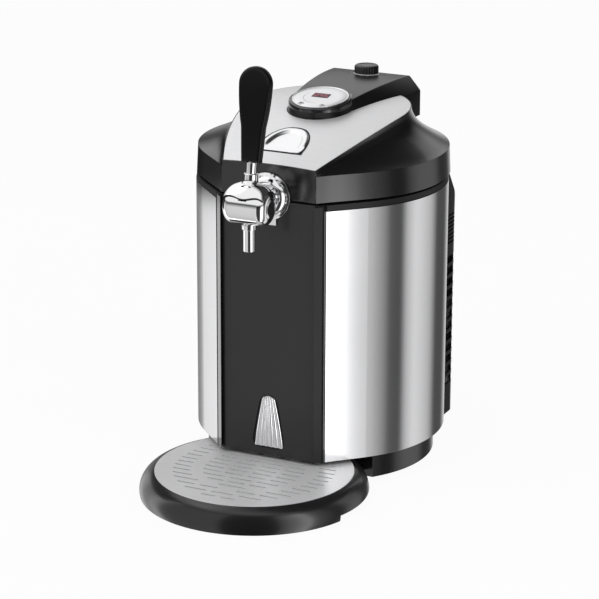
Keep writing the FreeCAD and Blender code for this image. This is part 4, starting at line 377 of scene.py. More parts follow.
def glossed(finish, wire, gloss, swing):
    """Roughness that swings about its middle value, following a noise."""
    finish.feed("Roughness", wire.between(gloss * (1 - swing), gloss * (1 + swing)))


def soft_edges(finish, height, strength, depth, radius):
    """Bump over edges that are rounded by a small radius."""
    rounded = finish.node("ShaderNodeBevel", {"samples": 4}, {"Radius": radius}, "Normal")
    finish.feed("Normal", finish.node("ShaderNodeBump", {}, {
        "Height": height, "Strength": strength, "Distance": depth, "Normal": rounded}, "Normal"))


def moulded(name, tone, gloss, grain=0.00045, relief=0.25, coat=0.0, radius=0.0006, shine=0.36):
    """Moulded plastic: grain in the skin, gloss that drifts, tone that hardly does."""
    finish = Finish(name, Specular_IOR_Level=shine, Coat_Weight=coat, Coat_Roughness=0.14)
    here = finish.place()
    drift = finish.noise(here, PLASTIC_DRIFT, 2)
    skin = finish.noise(here, 1 / grain, 2, 0.6)
    shaded(finish, drift * 0.6 + skin * 0.4, tone, 0.9, 1.1)
    glossed(finish, drift * 0.7 + skin * 0.3, gloss, 0.14)
    soft_edges(finish, skin, relief, GRAIN_DEPTH, radius)
    return finish


def brushed(name, tone, gloss, stretch, relief=0.3, turned=False, spread=0.0, metal=1.0):
    """Brushed metal: fine lines drawn along the low parts of stretch, in 1/m."""
    finish = Finish(name, Metallic=metal, Anisotropic=spread, Anisotropic_Rotation=0.25)
    if turned:
        _, _, height = finish.position()
        here = finish.node("ShaderNodeCombineXYZ", {}, {
            "X": azimuth(finish) * stretch[0], "Y": height * stretch[2]})
    else:
        here = finish.place(stretch)
    lines = finish.noise(here, 1.0, 3, 0.65)
    drift = finish.noise(finish.place(), METAL_DRIFT, 2)
    shaded(finish, lines * 0.75 + drift * 0.25, tone, 0.93, 1.06)
    glossed(finish, lines * 0.5 + drift * 0.5, gloss, 0.15)
    soft_edges(finish, lines, relief, LINE_DEPTH, METAL_EDGE)
    return finish


def plated(name, tone, gloss):
    """Bright plating with the slight orange peel of a polished casting."""
    finish = Finish(name, Metallic=1.0)
    peel = finish.noise(finish.place(), PLATE_PEEL, 2)
    drift = finish.noise(finish.place(), PLATE_DRIFT, 2)
    shaded(finish, drift, tone, 0.97, 1.02)
    glossed(finish, drift, gloss, 0.3)
    soft_edges(finish, peel, 0.05, PEEL_DEPTH, PLATE_EDGE)
    return finish


print("finish recipes ready")

# %% [markdown]
# ## One finish for each material
#
# The record of the solid model names a material for every piece. Here each name gets
# its recipe: tone, gloss and, for brushed metal, how the lines run. The rim under the
# lid is moulded with a duller skin than the rest, so it gets a finish of its own.

# %% Dress the solid model
BLACK, COAL = (0.0050, 0.0050, 0.0055), (0.016, 0.016, 0.017)
STEEL, SILVER, CHROME = (0.70, 0.70, 0.71), (0.80, 0.80, 0.81), (0.86, 0.86, 0.87)
finishes = {
    "black_plastic": moulded("satin_black", BLACK, 0.24, relief=0.10, coat=0.6, shine=0.45),
    "front_gloss": moulded("satin_charcoal", COAL, 0.30, relief=0.10, coat=0.25),
    "steel_skin": brushed("brushed_steel", STEEL, 0.16, (90, 0, 5200), turned=True, spread=0.6),
    "silver_skin": brushed("satin_silver", SILVER, 0.42, (60, 1800, 60), relief=0.1, metal=0.6),
    "badge_silver": plated("plated_badge", CHROME, 0.16),
    "chrome_part": plated("bright_chrome", CHROME, 0.07),
    "button_silver": plated("plated_button", SILVER, 0.20),
    "handle_black": moulded("handle_black", BLACK, 0.26, relief=0.05, radius=0.0014, shine=0.17),
    "grid_steel": brushed("grid_steel", CHROME, 0.42, (60, 2600, 60), metal=0.35),
    "tray_black": moulded("tray_black", (0.009, 0.009, 0.0095), 0.30, relief=0.10, coat=0.5,
                          radius=0.0008),
    # real rubber, and also the colour of black pieces that are painted shade in gaps and a slot
    "rubber_black": moulded("foot_rubber_and_shade", (0.022, 0.022, 0.022), 0.8, relief=0.5),
    "liner_grey": moulded("liner_grey", (0.50, 0.51, 0.53), 0.4, relief=0.1),
    "foam_white": moulded("closed_cell_foam", (0.78, 0.75, 0.66), 0.85, grain=0.0012, relief=0.9),
    "heat_sink_metal": brushed("extruded_alloy", (0.62, 0.63, 0.65), 0.4, (900, 900, 40)),
    "module_white": moulded("ceramic_white", (0.80, 0.79, 0.76), 0.5),
    "fan_black": moulded("fan_black", (0.024, 0.024, 0.026), 0.4),
    "board_green": moulded("board_green", (0.03, 0.16, 0.07), 0.38, grain=0.002),
    "display_glass": moulded("window_red", (0.034, 0.004, 0.010), 0.30, relief=0.0, shine=0.15),
    "disc_silver": brushed("satin_disc", SILVER, 0.36, (60, 2400, 60), relief=0.08),
    "key_silver": moulded("key_silver", (0.55, 0.55, 0.57), 0.3, relief=0.05),
    "knob_black": moulded("knob_black", BLACK, 0.30, relief=0.05, coat=0.2),
    "regulator_metal": brushed("turned_alloy", (0.6, 0.6, 0.62), 0.35, (40, 2500, 40)),
    "pin_steel": brushed("ground_steel", (0.58, 0.58, 0.6), 0.3, (60, 2500, 60)),
}
# dull black of the rim under the lid, also the painted shade on the panel's right edge
dull_black_and_edge_shade = moulded("dull_black_and_edge_shade", BLACK, 0.5, relief=0.2)
for row in frame["record"]["subparts"]:
    finish = dull_black_and_edge_shade if row["node"] == "body_rim" else finishes[row["material_slot"]]
    for place in frame["nodes"][row["node"]].material_slots:
        place.material = finish.material
print("finishes:", len(finishes))

# %% [markdown]
# ## Helpers for the trim
#
# Every dressed piece is written face by face with bmesh, turned smooth except at its
# creases, hung on the body that carries it and given its finish. Ready made
# primitives would be quicker, but they have no moulded edges.

# %% Piece helpers
def smoothed(mesh, crease):
    """Smooth shading that stops at edges bent by more than the crease, in degrees."""
    mesh.polygons.foreach_set("use_smooth", [True] * len(mesh.polygons))
    mesh.set_sharp_from_angle(angle=math.radians(crease))


def dress(name, body, slot, fill, skin=None, crease=35):
    """A piece at the origin, riding on a body, whose mesh is written by fill(bm)."""
    piece = place_mesh(name, fill, skin or finishes[slot])
    smoothed(piece.data, crease)
    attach(piece, body)
    return piece


def skin_rings(bm, rings, capped=True):
    """Quads between closed rings of points, with the end rings filled if capped."""
    rows = [[bm.verts.new(point) for point in ring] for ring in rings]
    for low, high in zip(rows, rows[1:]):
        for i in range(len(low)):
            j = (i + 1) % len(low)
            bm.faces.new((low[i], low[j], high[j], high[i]))
    if capped:
        bm.faces.new(list(reversed(rows[0])))
        bm.faces.new(rows[-1])
    bmesh.ops.recalc_face_normals(bm, faces=bm.faces)


def lathe(profile, place, steps):
    """Fill for a closed solid turned about Z, from (radius, height) in millimetres."""
    def fill(bm):
        skin_rings(bm, [[place @ (Vector((radius * math.cos(math.tau * i / steps),
                                          radius * math.sin(math.tau * i / steps), height)) * MM)
                         for i in range(steps)] for radius, height in profile])
    return fill


print("trim helpers ready")

# %% [markdown]
# ## Control housing
#
# On the real machine the housing is one moulding whose top sags towards a round nose,
# so that the display leans to the user. The solid model has a flat top there; the
# moulding is skinned here over the same plan, with the sag as a parabola from back
# to front.

# %% Housing
NOSE_Y, HOUSING_MIDDLE, HOUSING_BACK = -6.4, 40.0, 126.0
NOSE_TOP, NOSE_LEAN, SAG = 380.0, 0.105, 0.000685
HOUSING_FOOT, SHOULDER = 340.0, 368.0
FLANK_STEPS, NOSE_STEPS = 14, 24
FOOT_PLAN = {"half": 57, "nose": 34.5, "bulge": 5}
TOP_PLAN = {"half": 44.4, "nose": 31.6, "bulge": 2}
# share of the way from foot plan to top plan, and the height there
WALL_RINGS = ((0, HOUSING_FOOT), (0, SHOULDER - 1.5), (0.06, SHOULDER))
# that share again, the inset from it, and the drop below the sagging top
TOP_RINGS = ((0.92, 0, 1.4), (1, 0.15, 0.45), (1, 0.7, 0.08), (1, 2, 0), (1, 10, 0), (1, 20, 0),
             (1, 27, 0))


def housing_top(y):
    ahead = y - NOSE_Y
    return NOSE_TOP + NOSE_LEAN * ahead - SAG * ahead * ahead


def housing_plan(half, nose, bulge):
    """Plan points in millimetres, anticlockwise from the right end of the nose."""
    flank = []
    for i in range(FLANK_STEPS + 1):
        share = i / FLANK_STEPS
        bow = bulge * 4 * share * (1 - share)
        flank.append((nose + (half - nose) * share + bow, NOSE_Y + (HOUSING_BACK - NOSE_Y) * share))
    rear = [(half * (1 - 2 * i / FLANK_STEPS), HOUSING_BACK) for i in range(1, FLANK_STEPS)]
    other = [(-x, y) for x, y in reversed(flank)]
    turns = [math.pi * i / NOSE_STEPS for i in range(1, NOSE_STEPS)]
    front = [(-nose * math.cos(turn), NOSE_Y - nose * math.sin(turn)) for turn in turns]
    return flank + rear + other + front


def housing_skin(bm):
    low, high = housing_plan(**FOOT_PLAN), housing_plan(**TOP_PLAN)

    def outline(share, inset=0.0):
        """Plan at a share of the way to the top plan, drawn in towards the middle."""
        points = []
        for (low_x, low_y), (high_x, high_y) in zip(low, high):
            x = low_x + (high_x - low_x) * share
            y = low_y + (high_y - low_y) * share - HOUSING_MIDDLE
            kept = 1 - inset / math.hypot(x, y)
            points.append((x * kept, HOUSING_MIDDLE + y * kept))
        return points
    walls = [[Vector((x, y, z)) * MM for x, y in outline(share)] for share, z in WALL_RINGS]
    tops = [[Vector((x, y, housing_top(y) - drop)) * MM for x, y in outline(share, inset)]
            for share, inset, drop in TOP_RINGS]
    skin_rings(bm, walls + tops)


housing_black = moulded("housing_black", (0.006, 0.006, 0.0065), 0.30, relief=0.10, coat=0.05)
housing = dress("housing_moulding", "lid", "front_gloss", housing_skin, housing_black, crease=28)
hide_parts("control_housing")
print("housing:", len(housing.data.polygons), "faces")

# %% [markdown]
# ## Display disc
#
# A satin disc with a bright rim sits in a black collar at the nose. Ready made
# cylinders would have knife edges. Both are turned parts, so a profile swept round
# their axis makes them, as a lathe would; the whole display leans to the user.

# %% Display disc and collar
DISC_LEAN, DISC_LIFT, DISC_STEPS = math.radians(8.4), 0.7, 96
DISC_PLACE = (Matrix.Translation(Vector((0, NOSE_Y, NOSE_TOP + DISC_LIFT)) * MM)
              @ Matrix.Rotation(DISC_LEAN, 4, "X"))
DISC_PROFILE = ((29.5, -3.0), (29.9, -2.0), (29.9, 0.9), (29.5, 1.35), (28.7, 1.35), (28.35, 1.0),
                (27.9, 1.0), (27.5, 1.2), (20, 1.2), (10, 1.2))
COLLAR_PROFILE = ((29.9, -6.0), (33.6, -6.0), (33.4, -1.6), (32.8, -0.2), (31.6, 0.5), (30.6, 0.3),
                  (30.1, -0.6))

disc = dress("display_disc", "lid", "disc_silver", lathe(DISC_PROFILE, DISC_PLACE, DISC_STEPS))
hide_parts("display_bezel")
collar_gloss = moulded("collar_gloss", (0.014, 0.014, 0.015), 0.16, relief=0.03, coat=0.7)
dress("display_collar", "lid", "front_gloss", lathe(COLLAR_PROFILE, DISC_PLACE, DISC_STEPS), collar_gloss)
print("disc:", len(disc.data.polygons), "faces")

# %% [markdown]
# ## Window and lit figures
#
# The dark red window shows three figures, and a fine curved line is printed on the
# disc. An emissive image would blur close up, so the figures are seven segment bars,
# each a flat six-sided prism, which is how such a display is really made.

# %% Window, lit figures and printed arc
WINDOW_X, WINDOW_Y, WINDOW_LONG, WINDOW_TALL, WINDOW_ROUND = -0.6, 3.8, 9.2, 5.6, 0.8
FIGURE_TALL, FIGURE_WIDE, FIGURE_PITCH, BAR_WIDE, BAR_SHARE = 6.6, 3.036, 5.4, 0.62, 0.94
PANE_LEVELS, BAR_LEVELS = (0.6, 1.32), (1.3, 1.42)
ARC_RADIUS, ARC_THICK, ARC_THIN, ARC_STEPS = 17.5, 0.28, 0.06, 40
ARC_START, ARC_SWEEP, ARC_LOW, ARC_HIGH = 150, 130, 1.18, 1.24
SEGMENTS = {"top": (0, 1, 0), "middle": (0, 0, 0), "bottom": (0, -1, 0),
            "upper_right": (0.5, 0.5, 1), "lower_right": (0.5, -0.5, 1),
            "upper_left": (-0.5, 0.5, 1), "lower_left": (-0.5, -0.5, 1)}
FIGURES = {"0": "top bottom upper_right lower_right upper_left lower_left",
           "4": "middle upper_right lower_right upper_left",
           "5": "top middle bottom upper_left lower_right"}


def on_disc(x, y, z):
    return DISC_PLACE @ (Vector((x, y, z)) * MM)


def plate_prism(bm, corners, levels):
    """Flat prism on the disc from plan corners and two heights in millimetres."""
    skin_rings(bm, [[on_disc(x, y, level) for x, y in corners] for level in levels])


def window_pane(bm):
    corners = []
    for side_x, side_y, start in ((1, 1, 0), (-1, 1, 90), (-1, -1, 180), (1, -1, 270)):
        for turn in range(start, start + 120, 30):
            corners.append((WINDOW_X + side_x * (WINDOW_LONG - WINDOW_ROUND)
                            + WINDOW_ROUND * math.cos(math.radians(turn)),
                            WINDOW_Y + side_y * (WINDOW_TALL - WINDOW_ROUND)
                            + WINDOW_ROUND * math.sin(math.radians(turn))))
    plate_prism(bm, corners, PANE_LEVELS)


def lit_bar(bm, x, y, long, upright):
    """One bar with pointed ends."""
    half, tip = long / 2, BAR_WIDE / 2
    flat = [(-half, 0), (-half + tip, -tip), (half - tip, -tip), (half, 0),
            (half - tip, tip), (-half + tip, tip)]
    plate_prism(bm, [(x - v, y + u) if upright else (x + u, y + v) for u, v in flat], BAR_LEVELS)


def lit_figures(bm):
    step = FIGURE_TALL / 2
    for column, figure in ((-1, "0"), (0, "4"), (1, "5")):
        middle = WINDOW_X + column * FIGURE_PITCH
        for part in FIGURES[figure].split():
            side, row, upright = SEGMENTS[part]
            long = (step if upright else FIGURE_WIDE) * BAR_SHARE
            lit_bar(bm, middle + side * FIGURE_WIDE, WINDOW_Y + row * step, long, upright)


def printed_arc(bm):
    """Curved line that is widest in its middle."""
    rows = []
    for i in range(ARC_STEPS + 1):
        angle = math.radians(ARC_START + ARC_SWEEP * i / ARC_STEPS)
        outer = ARC_RADIUS + ARC_THICK * math.sin(math.pi * i / ARC_STEPS) + ARC_THIN
        rows.append([on_disc(reach * math.cos(angle), reach * math.sin(angle), z) for reach, z in
                     ((ARC_RADIUS, ARC_LOW), (outer, ARC_LOW), (outer, ARC_HIGH), (ARC_RADIUS, ARC_HIGH))])
    skin_rings(bm, rows)


pane = dress("display_window", "lid", "display_glass", window_pane)
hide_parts("display_module")
lit_red = Finish("lit_red", Base_Color=(0.25, 0.01, 0.02, 1), Roughness=0.4, Emission_Strength=1.0)
lit_red.feed("Emission Color", lit_red.ramp(lit_red.noise(lit_red.place(), 900, 1), [
    (NOISE_LOW, (0.34, 0.09, 0.13)), (NOISE_HIGH, (0.46, 0.13, 0.18))]))
dress("display_figures", "lid", "display_glass", lit_figures, lit_red)
ink = moulded("printed_ink", (0.06, 0.06, 0.065), 0.5, relief=0.0)
dress("display_arc", "lid", "key_silver", printed_arc, ink)
print("window: %d figures" % len(FIGURES))

# %% [markdown]
# ## Temperature keys
#
# Two small caps with printed arrows, one up and one down, stand at the front of the
# disc. Both are the same piece on the real machine, so one loop makes them, each on
# the body that its key moves with.

# %% Keys
KEY_X, KEY_Y, KEY_STEPS = 12.0, -22.0, 32
KEY_PROFILE = ((3.0, 0.9), (3.2, 1.05), (3.2, 1.4), (2.9, 1.62), (1.5, 1.7))
ARROW_HALF, ARROW_FOOT, ARROW_LEVELS = 1.9, 0.6, (1.66, 1.76)
BODY_OF = {name: body for body, names in frame["record"]["behaviour"]["bodies"].items()
           for name in names}


def arrow(key_x, way):
    """Fill for a triangle that points up or down the disc."""
    def fill(bm):
        tip = ARROW_HALF * way
        corners = [(key_x - ARROW_HALF, KEY_Y - tip * ARROW_FOOT),
                   (key_x + ARROW_HALF, KEY_Y - tip * ARROW_FOOT), (key_x, KEY_Y + tip)]
        plate_prism(bm, corners[::way], ARROW_LEVELS)
    return fill


for key, way in (("temp_up", 1), ("temp_down", -1)):
    button_node = key + "_button"
    key_place = DISC_PLACE @ Matrix.Translation(Vector((KEY_X * way, KEY_Y, 0)) * MM)
    cap = dress(key + "_cap", BODY_OF[button_node], "key_silver", lathe(KEY_PROFILE, key_place, KEY_STEPS))
    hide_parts(button_node)
    dress(key + "_arrow", BODY_OF[button_node], "key_silver", arrow(KEY_X * way, way), ink)
print("keys:", len(cap.data.polygons), "faces each")

# %% [markdown]
# ## Release button
#
# The plated button follows the lid's dome and has a finger rest pressed into it: a
# bright raised lip at the back and the sides, and a floor that runs out flat at the
# front edge. Rings of the D outline are drawn in towards its middle, and each ring
# gets its height from one lip profile.

# %% Release button
CROWN_TOP, CROWN_BACK, CROWN_LONG, CROWN_WIDE = 373.7, 45.0, 460.0, 850.0
BUTTON_FRONT, BUTTON_BACK, BUTTON_HALF, BUTTON_GAP = -109.5, -62.5, 26.0, 0.9
BUTTON_PROUD, FRONT_DROP = 0.5, 0.5
REST_FROM, REST_RAMP, REST_MIDDLE = 3, 16, 19.0
# right half of the D: shares of the half width and of the depth from the front
D_OUTLINE = ((0, 0), (0.40, 0), (0.74, 0.005), (0.92, 0.06), (0.985, 0.19), (0.93, 0.46),
             (0.75, 0.73), (0.42, 0.94), (0, 1))
# share of the way from the middle to the outline, and the height there
LIP = ((1.0, -3.0), (1.0, -0.5), (0.985, 0.15), (0.95, 0.60), (0.88, 0.85), (0.80, 0.72),
       (0.745, 0.25), (0.70, -0.55), (0.655, -1.15), (0.60, -1.4), (0.40, -1.5), (0.20, -1.5),
       (0.05, -1.5))
OUTER_EDGE = 0.985
SPLINE_STEPS = 12
# margins of the black ring that is painted shade in the gap round the button
GAP_SHADE_OUTER, GAP_SHADE_INNER = -0.7, 0.75


def dome(x, y):
    drop = CROWN_WIDE - math.sqrt(CROWN_WIDE ** 2 - x * x)
    return CROWN_TOP - CROWN_LONG + math.sqrt((CROWN_LONG - drop) ** 2 - (y - CROWN_BACK) ** 2)


def rounded_d(margin):
    """D outline drawn in by a margin, as a Catmull-Rom spline through its points."""
    half, front = BUTTON_HALF - margin, BUTTON_FRONT + margin
    deep = BUTTON_BACK - margin - front
    right = [(half * side, front + deep * ahead) for side, ahead in D_OUTLINE]
    around = right + [(-x, y) for x, y in reversed(right[1:-1])]
    smooth = []
    for i in range(len(around)):
        a, b, c, d = [Vector(around[(i + k) % len(around)]) for k in (-1, 0, 1, 2)]
        for j in range(SPLINE_STEPS):
            t = j / SPLINE_STEPS
            smooth.append(0.5 * ((2 * b) + (c - a) * t + (2 * a - 5 * b + 4 * c - d) * t * t
                                 + (3 * b - a - 3 * c + d) * t ** 3))
    return smooth


def button_skin(bm):
    outline, middle = rounded_d(BUTTON_GAP), Vector((0, BUTTON_FRONT + REST_MIDDLE))
    rings = []
    for share, height in LIP:
        ring = []
        for spot in outline:
            x, y = middle + (spot - middle) * share
            inland = min(max((y - BUTTON_FRONT - REST_FROM) / REST_RAMP, 0), 1)
            inland = inland * inland * (3 - 2 * inland)
            rise = height if share >= OUTER_EDGE else height * inland - FRONT_DROP * (1 - inland)
            ring.append(Vector((x, y, dome(x, y) + BUTTON_PROUD + rise)) * MM)
        rings.append(ring)
    skin_rings(bm, rings)


def button_gap_shade(bm):
    """Black ring that fills the gap between the plate and the button: painted shade of the gap."""
    outer, inner = rounded_d(GAP_SHADE_OUTER), rounded_d(GAP_SHADE_INNER)
    section = ((outer, -0.4), (outer, 0.35), (inner, 0.5), (inner, -0.4))
    skin_rings(bm, [[Vector((x, y, dome(x, y) + rise)) * MM for x, y in line] for line, rise in section],
               capped=False)


button = dress("release_cap", "button", "button_silver", button_skin, crease=50)
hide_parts("release_button")
# black ring in the gap round the button: painted shade
dress("button_gap_shade", "lid", "rubber_black", button_gap_shade)
print("button:", len(button.data.polygons), "faces")

# %% [markdown]
# ## Tap hood
#
# The lever turns a hood that hugs the barrel: its lower edge shows as a dark wavy
# line and its top rises into the neck. It is a patch of the barrel's own surface,
# a little larger, drawn up into the neck by a smooth bell. The dark wavy line is a
# black strip along the hood's edge, painted shade of the gap there, and a black
# patch in front of the neck is painted shade of a drain slot.

# %% Tap hood
TAP_Y, TAP_Z, TAP_LEAN = -174.0, 306.3, math.radians(7.5)
LEVER = Matrix.Translation(Vector((0, TAP_Y, TAP_Z)) * MM) @ Matrix.Rotation(-TAP_LEAN, 4, "X")
BARREL, BARREL_HALF, BARREL_ROUND = 18.5, 23.5, 8.5
HOOD_REACH, HOOD_SPREAD, HOOD_LIFT, HOOD_BELL = BARREL_HALF - 1.6, math.radians(57), 5.5, 1.6
HOOD_UNDER, HOOD_OVER, HOOD_ROWS = 0.5, 1.7, 26
FRONT_REACH, FRONT_WAVE, FRONT_WAVES, BACK_WAVE, BACK_FLARE = 1.02, 0.07, 1.5, 0.16, 0.10
SLOT_MIDDLE, SLOT_LONG, SLOT_TALL, SLOT_STEPS, SLOT_RISE = 0.50, 0.26, 0.055, 24, (-0.4, 0.12)
# section and steps of the black strip that is painted shade at the hood's edge
HOOD_SHADE_SECTION, HOOD_SHADE_STEPS = ((1.0, 0.2), (1.0, 1.55), (1.04, 1.55), (1.04, 0.2)), 48
NECK, NECK_TOP, NECK_STEPS = 7.4, 33.0, 48
NECK_PROFILE = ((9.8, 21.0), (9.2, 23.2), (8.2, 24.6), (NECK + 0.1, 26.0), (NECK, 27.5),
                (NECK, NECK_TOP - 0.5), (NECK - 0.5, NECK_TOP), (5.8, NECK_TOP))


def barrel_radius(x, grow):
    """Radius of the rounded barrel at a distance from its middle."""
    past = max(abs(x) - (BARREL_HALF - BARREL_ROUND), 0)
    reach = BARREL_ROUND + grow
    return BARREL - BARREL_ROUND + math.sqrt(max(reach * reach - past * past, 0.01))


def hood_edge(u, front):
    """How far the hood reaches round the barrel: wavy in front, short behind."""
    if front:
        return FRONT_REACH + FRONT_WAVE * math.cos(FRONT_WAVES * math.pi * u)
    return 1 - BACK_WAVE * math.cos(math.pi * u) + BACK_FLARE * u * u


def hood_point(u, v, grow, lift=0.0):
    """A point on the hood: u across it, v from its back edge to its front edge."""
    angle = v * HOOD_SPREAD * hood_edge(u, v > 0)
    x, bell = u * HOOD_REACH, max(1 - u * u, 0) * max(1 - v * v, 0)
    radius = barrel_radius(x, grow)
    point = Vector((x, -radius * math.sin(angle), radius * math.cos(angle) + lift * bell ** HOOD_BELL))
    return LEVER @ (point * MM)


def hood_skin(bm):
    """Two layers over the same grid, joined round their edge."""
    spots = range(HOOD_ROWS + 1)
    grid = {(layer, i, j): bm.verts.new(hood_point(-1 + 2 * i / HOOD_ROWS, -1 + 2 * j / HOOD_ROWS,
                                                   grow, HOOD_LIFT * layer))
            for layer, grow in enumerate((HOOD_UNDER, HOOD_OVER)) for i in spots for j in spots}
    for i in spots[:-1]:
        for j in spots[:-1]:
            corner = [(i, j), (i + 1, j), (i + 1, j + 1), (i, j + 1)]
            bm.faces.new([grid[(1, *spot)] for spot in corner])
            bm.faces.new([grid[(0, *spot)] for spot in reversed(corner)])
    edge = ([(i, 0) for i in spots[:-1]] + [(HOOD_ROWS, j) for j in spots[:-1]]
            + [(i, HOOD_ROWS) for i in spots[:0:-1]] + [(0, j) for j in spots[:0:-1]])
    for a, b in zip(edge, edge[1:] + edge[:1]):
        bm.faces.new([grid[(0, *a)], grid[(0, *b)], grid[(1, *b)], grid[(1, *a)]])
    bmesh.ops.recalc_face_normals(bm, faces=bm.faces)


def hood_slot(bm):
    """Black patch in front of the neck: painted shade of a drain slot."""
    turns = [math.tau * k / SLOT_STEPS for k in range(SLOT_STEPS)]
    skin_rings(bm, [[hood_point(SLOT_LONG * math.cos(turn), SLOT_MIDDLE + SLOT_TALL * math.sin(turn),
                                HOOD_OVER + rise, HOOD_LIFT) for turn in turns] for rise in SLOT_RISE])


def hood_gap_shade(bm):
    """Black wavy strip between the hood and the barrel, in front and behind: painted shade of the gap at
    the hood's edge.
    """
    for side in (-1, 1):
        skin_rings(bm, [[hood_point(-1 + 2 * i / HOOD_SHADE_STEPS, side * reach, grow)
                         for reach, grow in HOOD_SHADE_SECTION] for i in range(HOOD_SHADE_STEPS + 1)])


# black rubber-finish patch and strip: painted shade in the slot and at the hood's edge
dress("hood_slot", "tap_lever", "rubber_black", hood_slot)
dress("hood_gap_shade", "tap_lever", "rubber_black", hood_gap_shade)
hood = dress("tap_hood_skin", "tap_lever", "chrome_part", hood_skin)
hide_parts("tap_hood")
dress("tap_neck", "tap_lever", "chrome_part", lathe(NECK_PROFILE, LEVER, NECK_STEPS))
print("hood:", len(hood.data.polygons), "faces")

# %% [markdown]
# ## Pressure scale
#
# Small printed marks stand round the pressure knob. They repeat, so a Geometry Nodes
# tree lays them out: points along an arc, one bar on each, made real and given its
# ink. The tree has named inputs, and its result is kept as a plain mesh.

# %% Pressure scale
KNOB_Y, KNOB_RADIUS = 112.0, 13.0
SCALE_GAP, SCALE_RISE, MARK_SIZE = 3.2, 0.05, (0.0004, 0.0018, 0.0007)
SCALE_INPUTS = {"Marks": ("Int", 11), "Radius": ("Float", (KNOB_RADIUS + SCALE_GAP) * MM),
                "Start": ("Float", math.radians(-215.0)), "Sweep": ("Float", math.radians(250.0)),
                "Size": ("Vector", MARK_SIZE)}
SCALE_NODES = {"given": "NodeGroupInput", "arc": "GeometryNodeCurveArc",
               "spots": "GeometryNodeCurveToPoints", "bar": "GeometryNodeMeshCube",
               "copies": "GeometryNodeInstanceOnPoints", "real": "GeometryNodeRealizeInstances",
               "inked": "GeometryNodeSetMaterial", "done": "NodeGroupOutput"}
SCALE_LINKS = (("given", "Radius", "arc", "Radius"), ("given", "Start", "arc", "Start Angle"),
               ("given", "Sweep", "arc", "Sweep Angle"), ("arc", "Curve", "spots", "Curve"),
               ("given", "Marks", "spots", "Count"), ("given", "Size", "bar", "Size"),
               ("spots", "Points", "copies", "Points"), ("spots", "Rotation", "copies", "Rotation"),
               ("bar", "Mesh", "copies", "Instance"), ("copies", "Instances", "real", "Geometry"),
               ("real", "Geometry", "inked", "Geometry"), ("inked", "Geometry", "done", "Geometry"))


def scale_marks(skin):
    """Mesh of the marks, grown by the Geometry Nodes tree on an empty helper object."""
    tree = bpy.data.node_groups.new("arc_marks", "GeometryNodeTree")
    tree.interface.new_socket("Geometry", in_out="OUTPUT", socket_type="NodeSocketGeometry")
    inputs = {label: tree.interface.new_socket(label, in_out="INPUT",
                                               socket_type="NodeSocket" + kind).identifier
              for label, (kind, _) in SCALE_INPUTS.items()}
    nodes = {label: tree.nodes.new(kind) for label, kind in SCALE_NODES.items()}
    for source, output, target, entry in SCALE_LINKS:
        tree.links.new(nodes[source].outputs[output], nodes[target].inputs[entry])
    nodes["inked"].inputs["Material"].default_value = skin.material
    grower = bpy.data.objects.new("scale_grower", bpy.data.meshes.new("scale_grower"))
    bpy.context.scene.collection.objects.link(grower)
    growing = grower.modifiers.new("marks", "NODES")
    growing.node_group = tree
    for label, (_, amount) in SCALE_INPUTS.items():
        growing[inputs[label]] = amount
    grown = grower.evaluated_get(bpy.context.evaluated_depsgraph_get())
    marks = bpy.data.meshes.new_from_object(grown)
    bpy.data.objects.remove(grower)
    return marks


pale_ink = moulded("pale_ink", (0.55, 0.55, 0.56), 0.45, relief=0.0)
slope = math.atan(NOSE_LEAN - 2 * SAG * (KNOB_Y - NOSE_Y))
KNOB_SEAT = (Matrix.Translation(Vector((0, KNOB_Y, housing_top(KNOB_Y) + SCALE_RISE)) * MM)
             @ Matrix.Rotation(slope, 4, "X"))
marks = scale_marks(pale_ink)
marks.transform(KNOB_SEAT)
scale = bpy.data.objects.new("pressure_scale", marks)
bpy.context.scene.collection.objects.link(scale)
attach(scale, "lid")
print("scale:", len(marks.polygons), "faces")

# %% [markdown]
# ## Pressure knob
#
# The knob has a ribbed grip under a slightly hollow top, and stands in a pale ring.
# Cutting ribs into a cylinder with a Boolean leaves ragged shading, so each ring of
# the skin is drawn with the ribs already in its radius.

# %% Knob ring and grip
RING_STEPS = 72
RING_PROFILE = ((KNOB_RADIUS - 1, -0.6), (KNOB_RADIUS + 1.1, -0.6), (KNOB_RADIUS + 1.1, 0.25),
                (KNOB_RADIUS + 0.8, 0.4), (KNOB_RADIUS - 1, 0.4))
RIBS, RIB_DEEP, RIB_STEPS = 26, 0.75, 8
knob_foot, knob_top = [corner[2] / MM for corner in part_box("pressure_knob")]
# inset from the knob's radius, height, and share of the ribs' depth
KNOB_PROFILE = ((0.0, knob_foot, 0.6), (0.0, knob_foot + 0.6, 1.0), (0.0, knob_top - 1.4, 1.0),
                (0.7, knob_top - 0.5, 0.5), (1.3, knob_top, 0.0), (2.2, knob_top, 0.0),
                (2.8, knob_top - 0.4, 0.0), (8, knob_top - 0.4, 0.0))


def knob_skin(bm):
    turns = [math.tau * i / (RIBS * RIB_STEPS) for i in range(RIBS * RIB_STEPS)]
    rings = []
    for inset, z, depth in KNOB_PROFILE:
        ring = []
        for turn in turns:
            cut = RIB_DEEP * depth * (0.5 - 0.5 * math.cos(turn * RIBS)) ** 2
            radius = KNOB_RADIUS - inset - cut
            ring.append(Vector((radius * math.cos(turn), KNOB_Y + radius * math.sin(turn), z)) * MM)
        rings.append(ring)
    skin_rings(bm, rings)


dress("knob_ring", "lid", "key_silver", lathe(RING_PROFILE, KNOB_SEAT, RING_STEPS), pale_ink)
knob = dress("knob_grip", "knob", "knob_black", knob_skin)
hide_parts("pressure_knob")
print("knob:", RIBS, "ribs", len(knob.data.polygons), "faces")

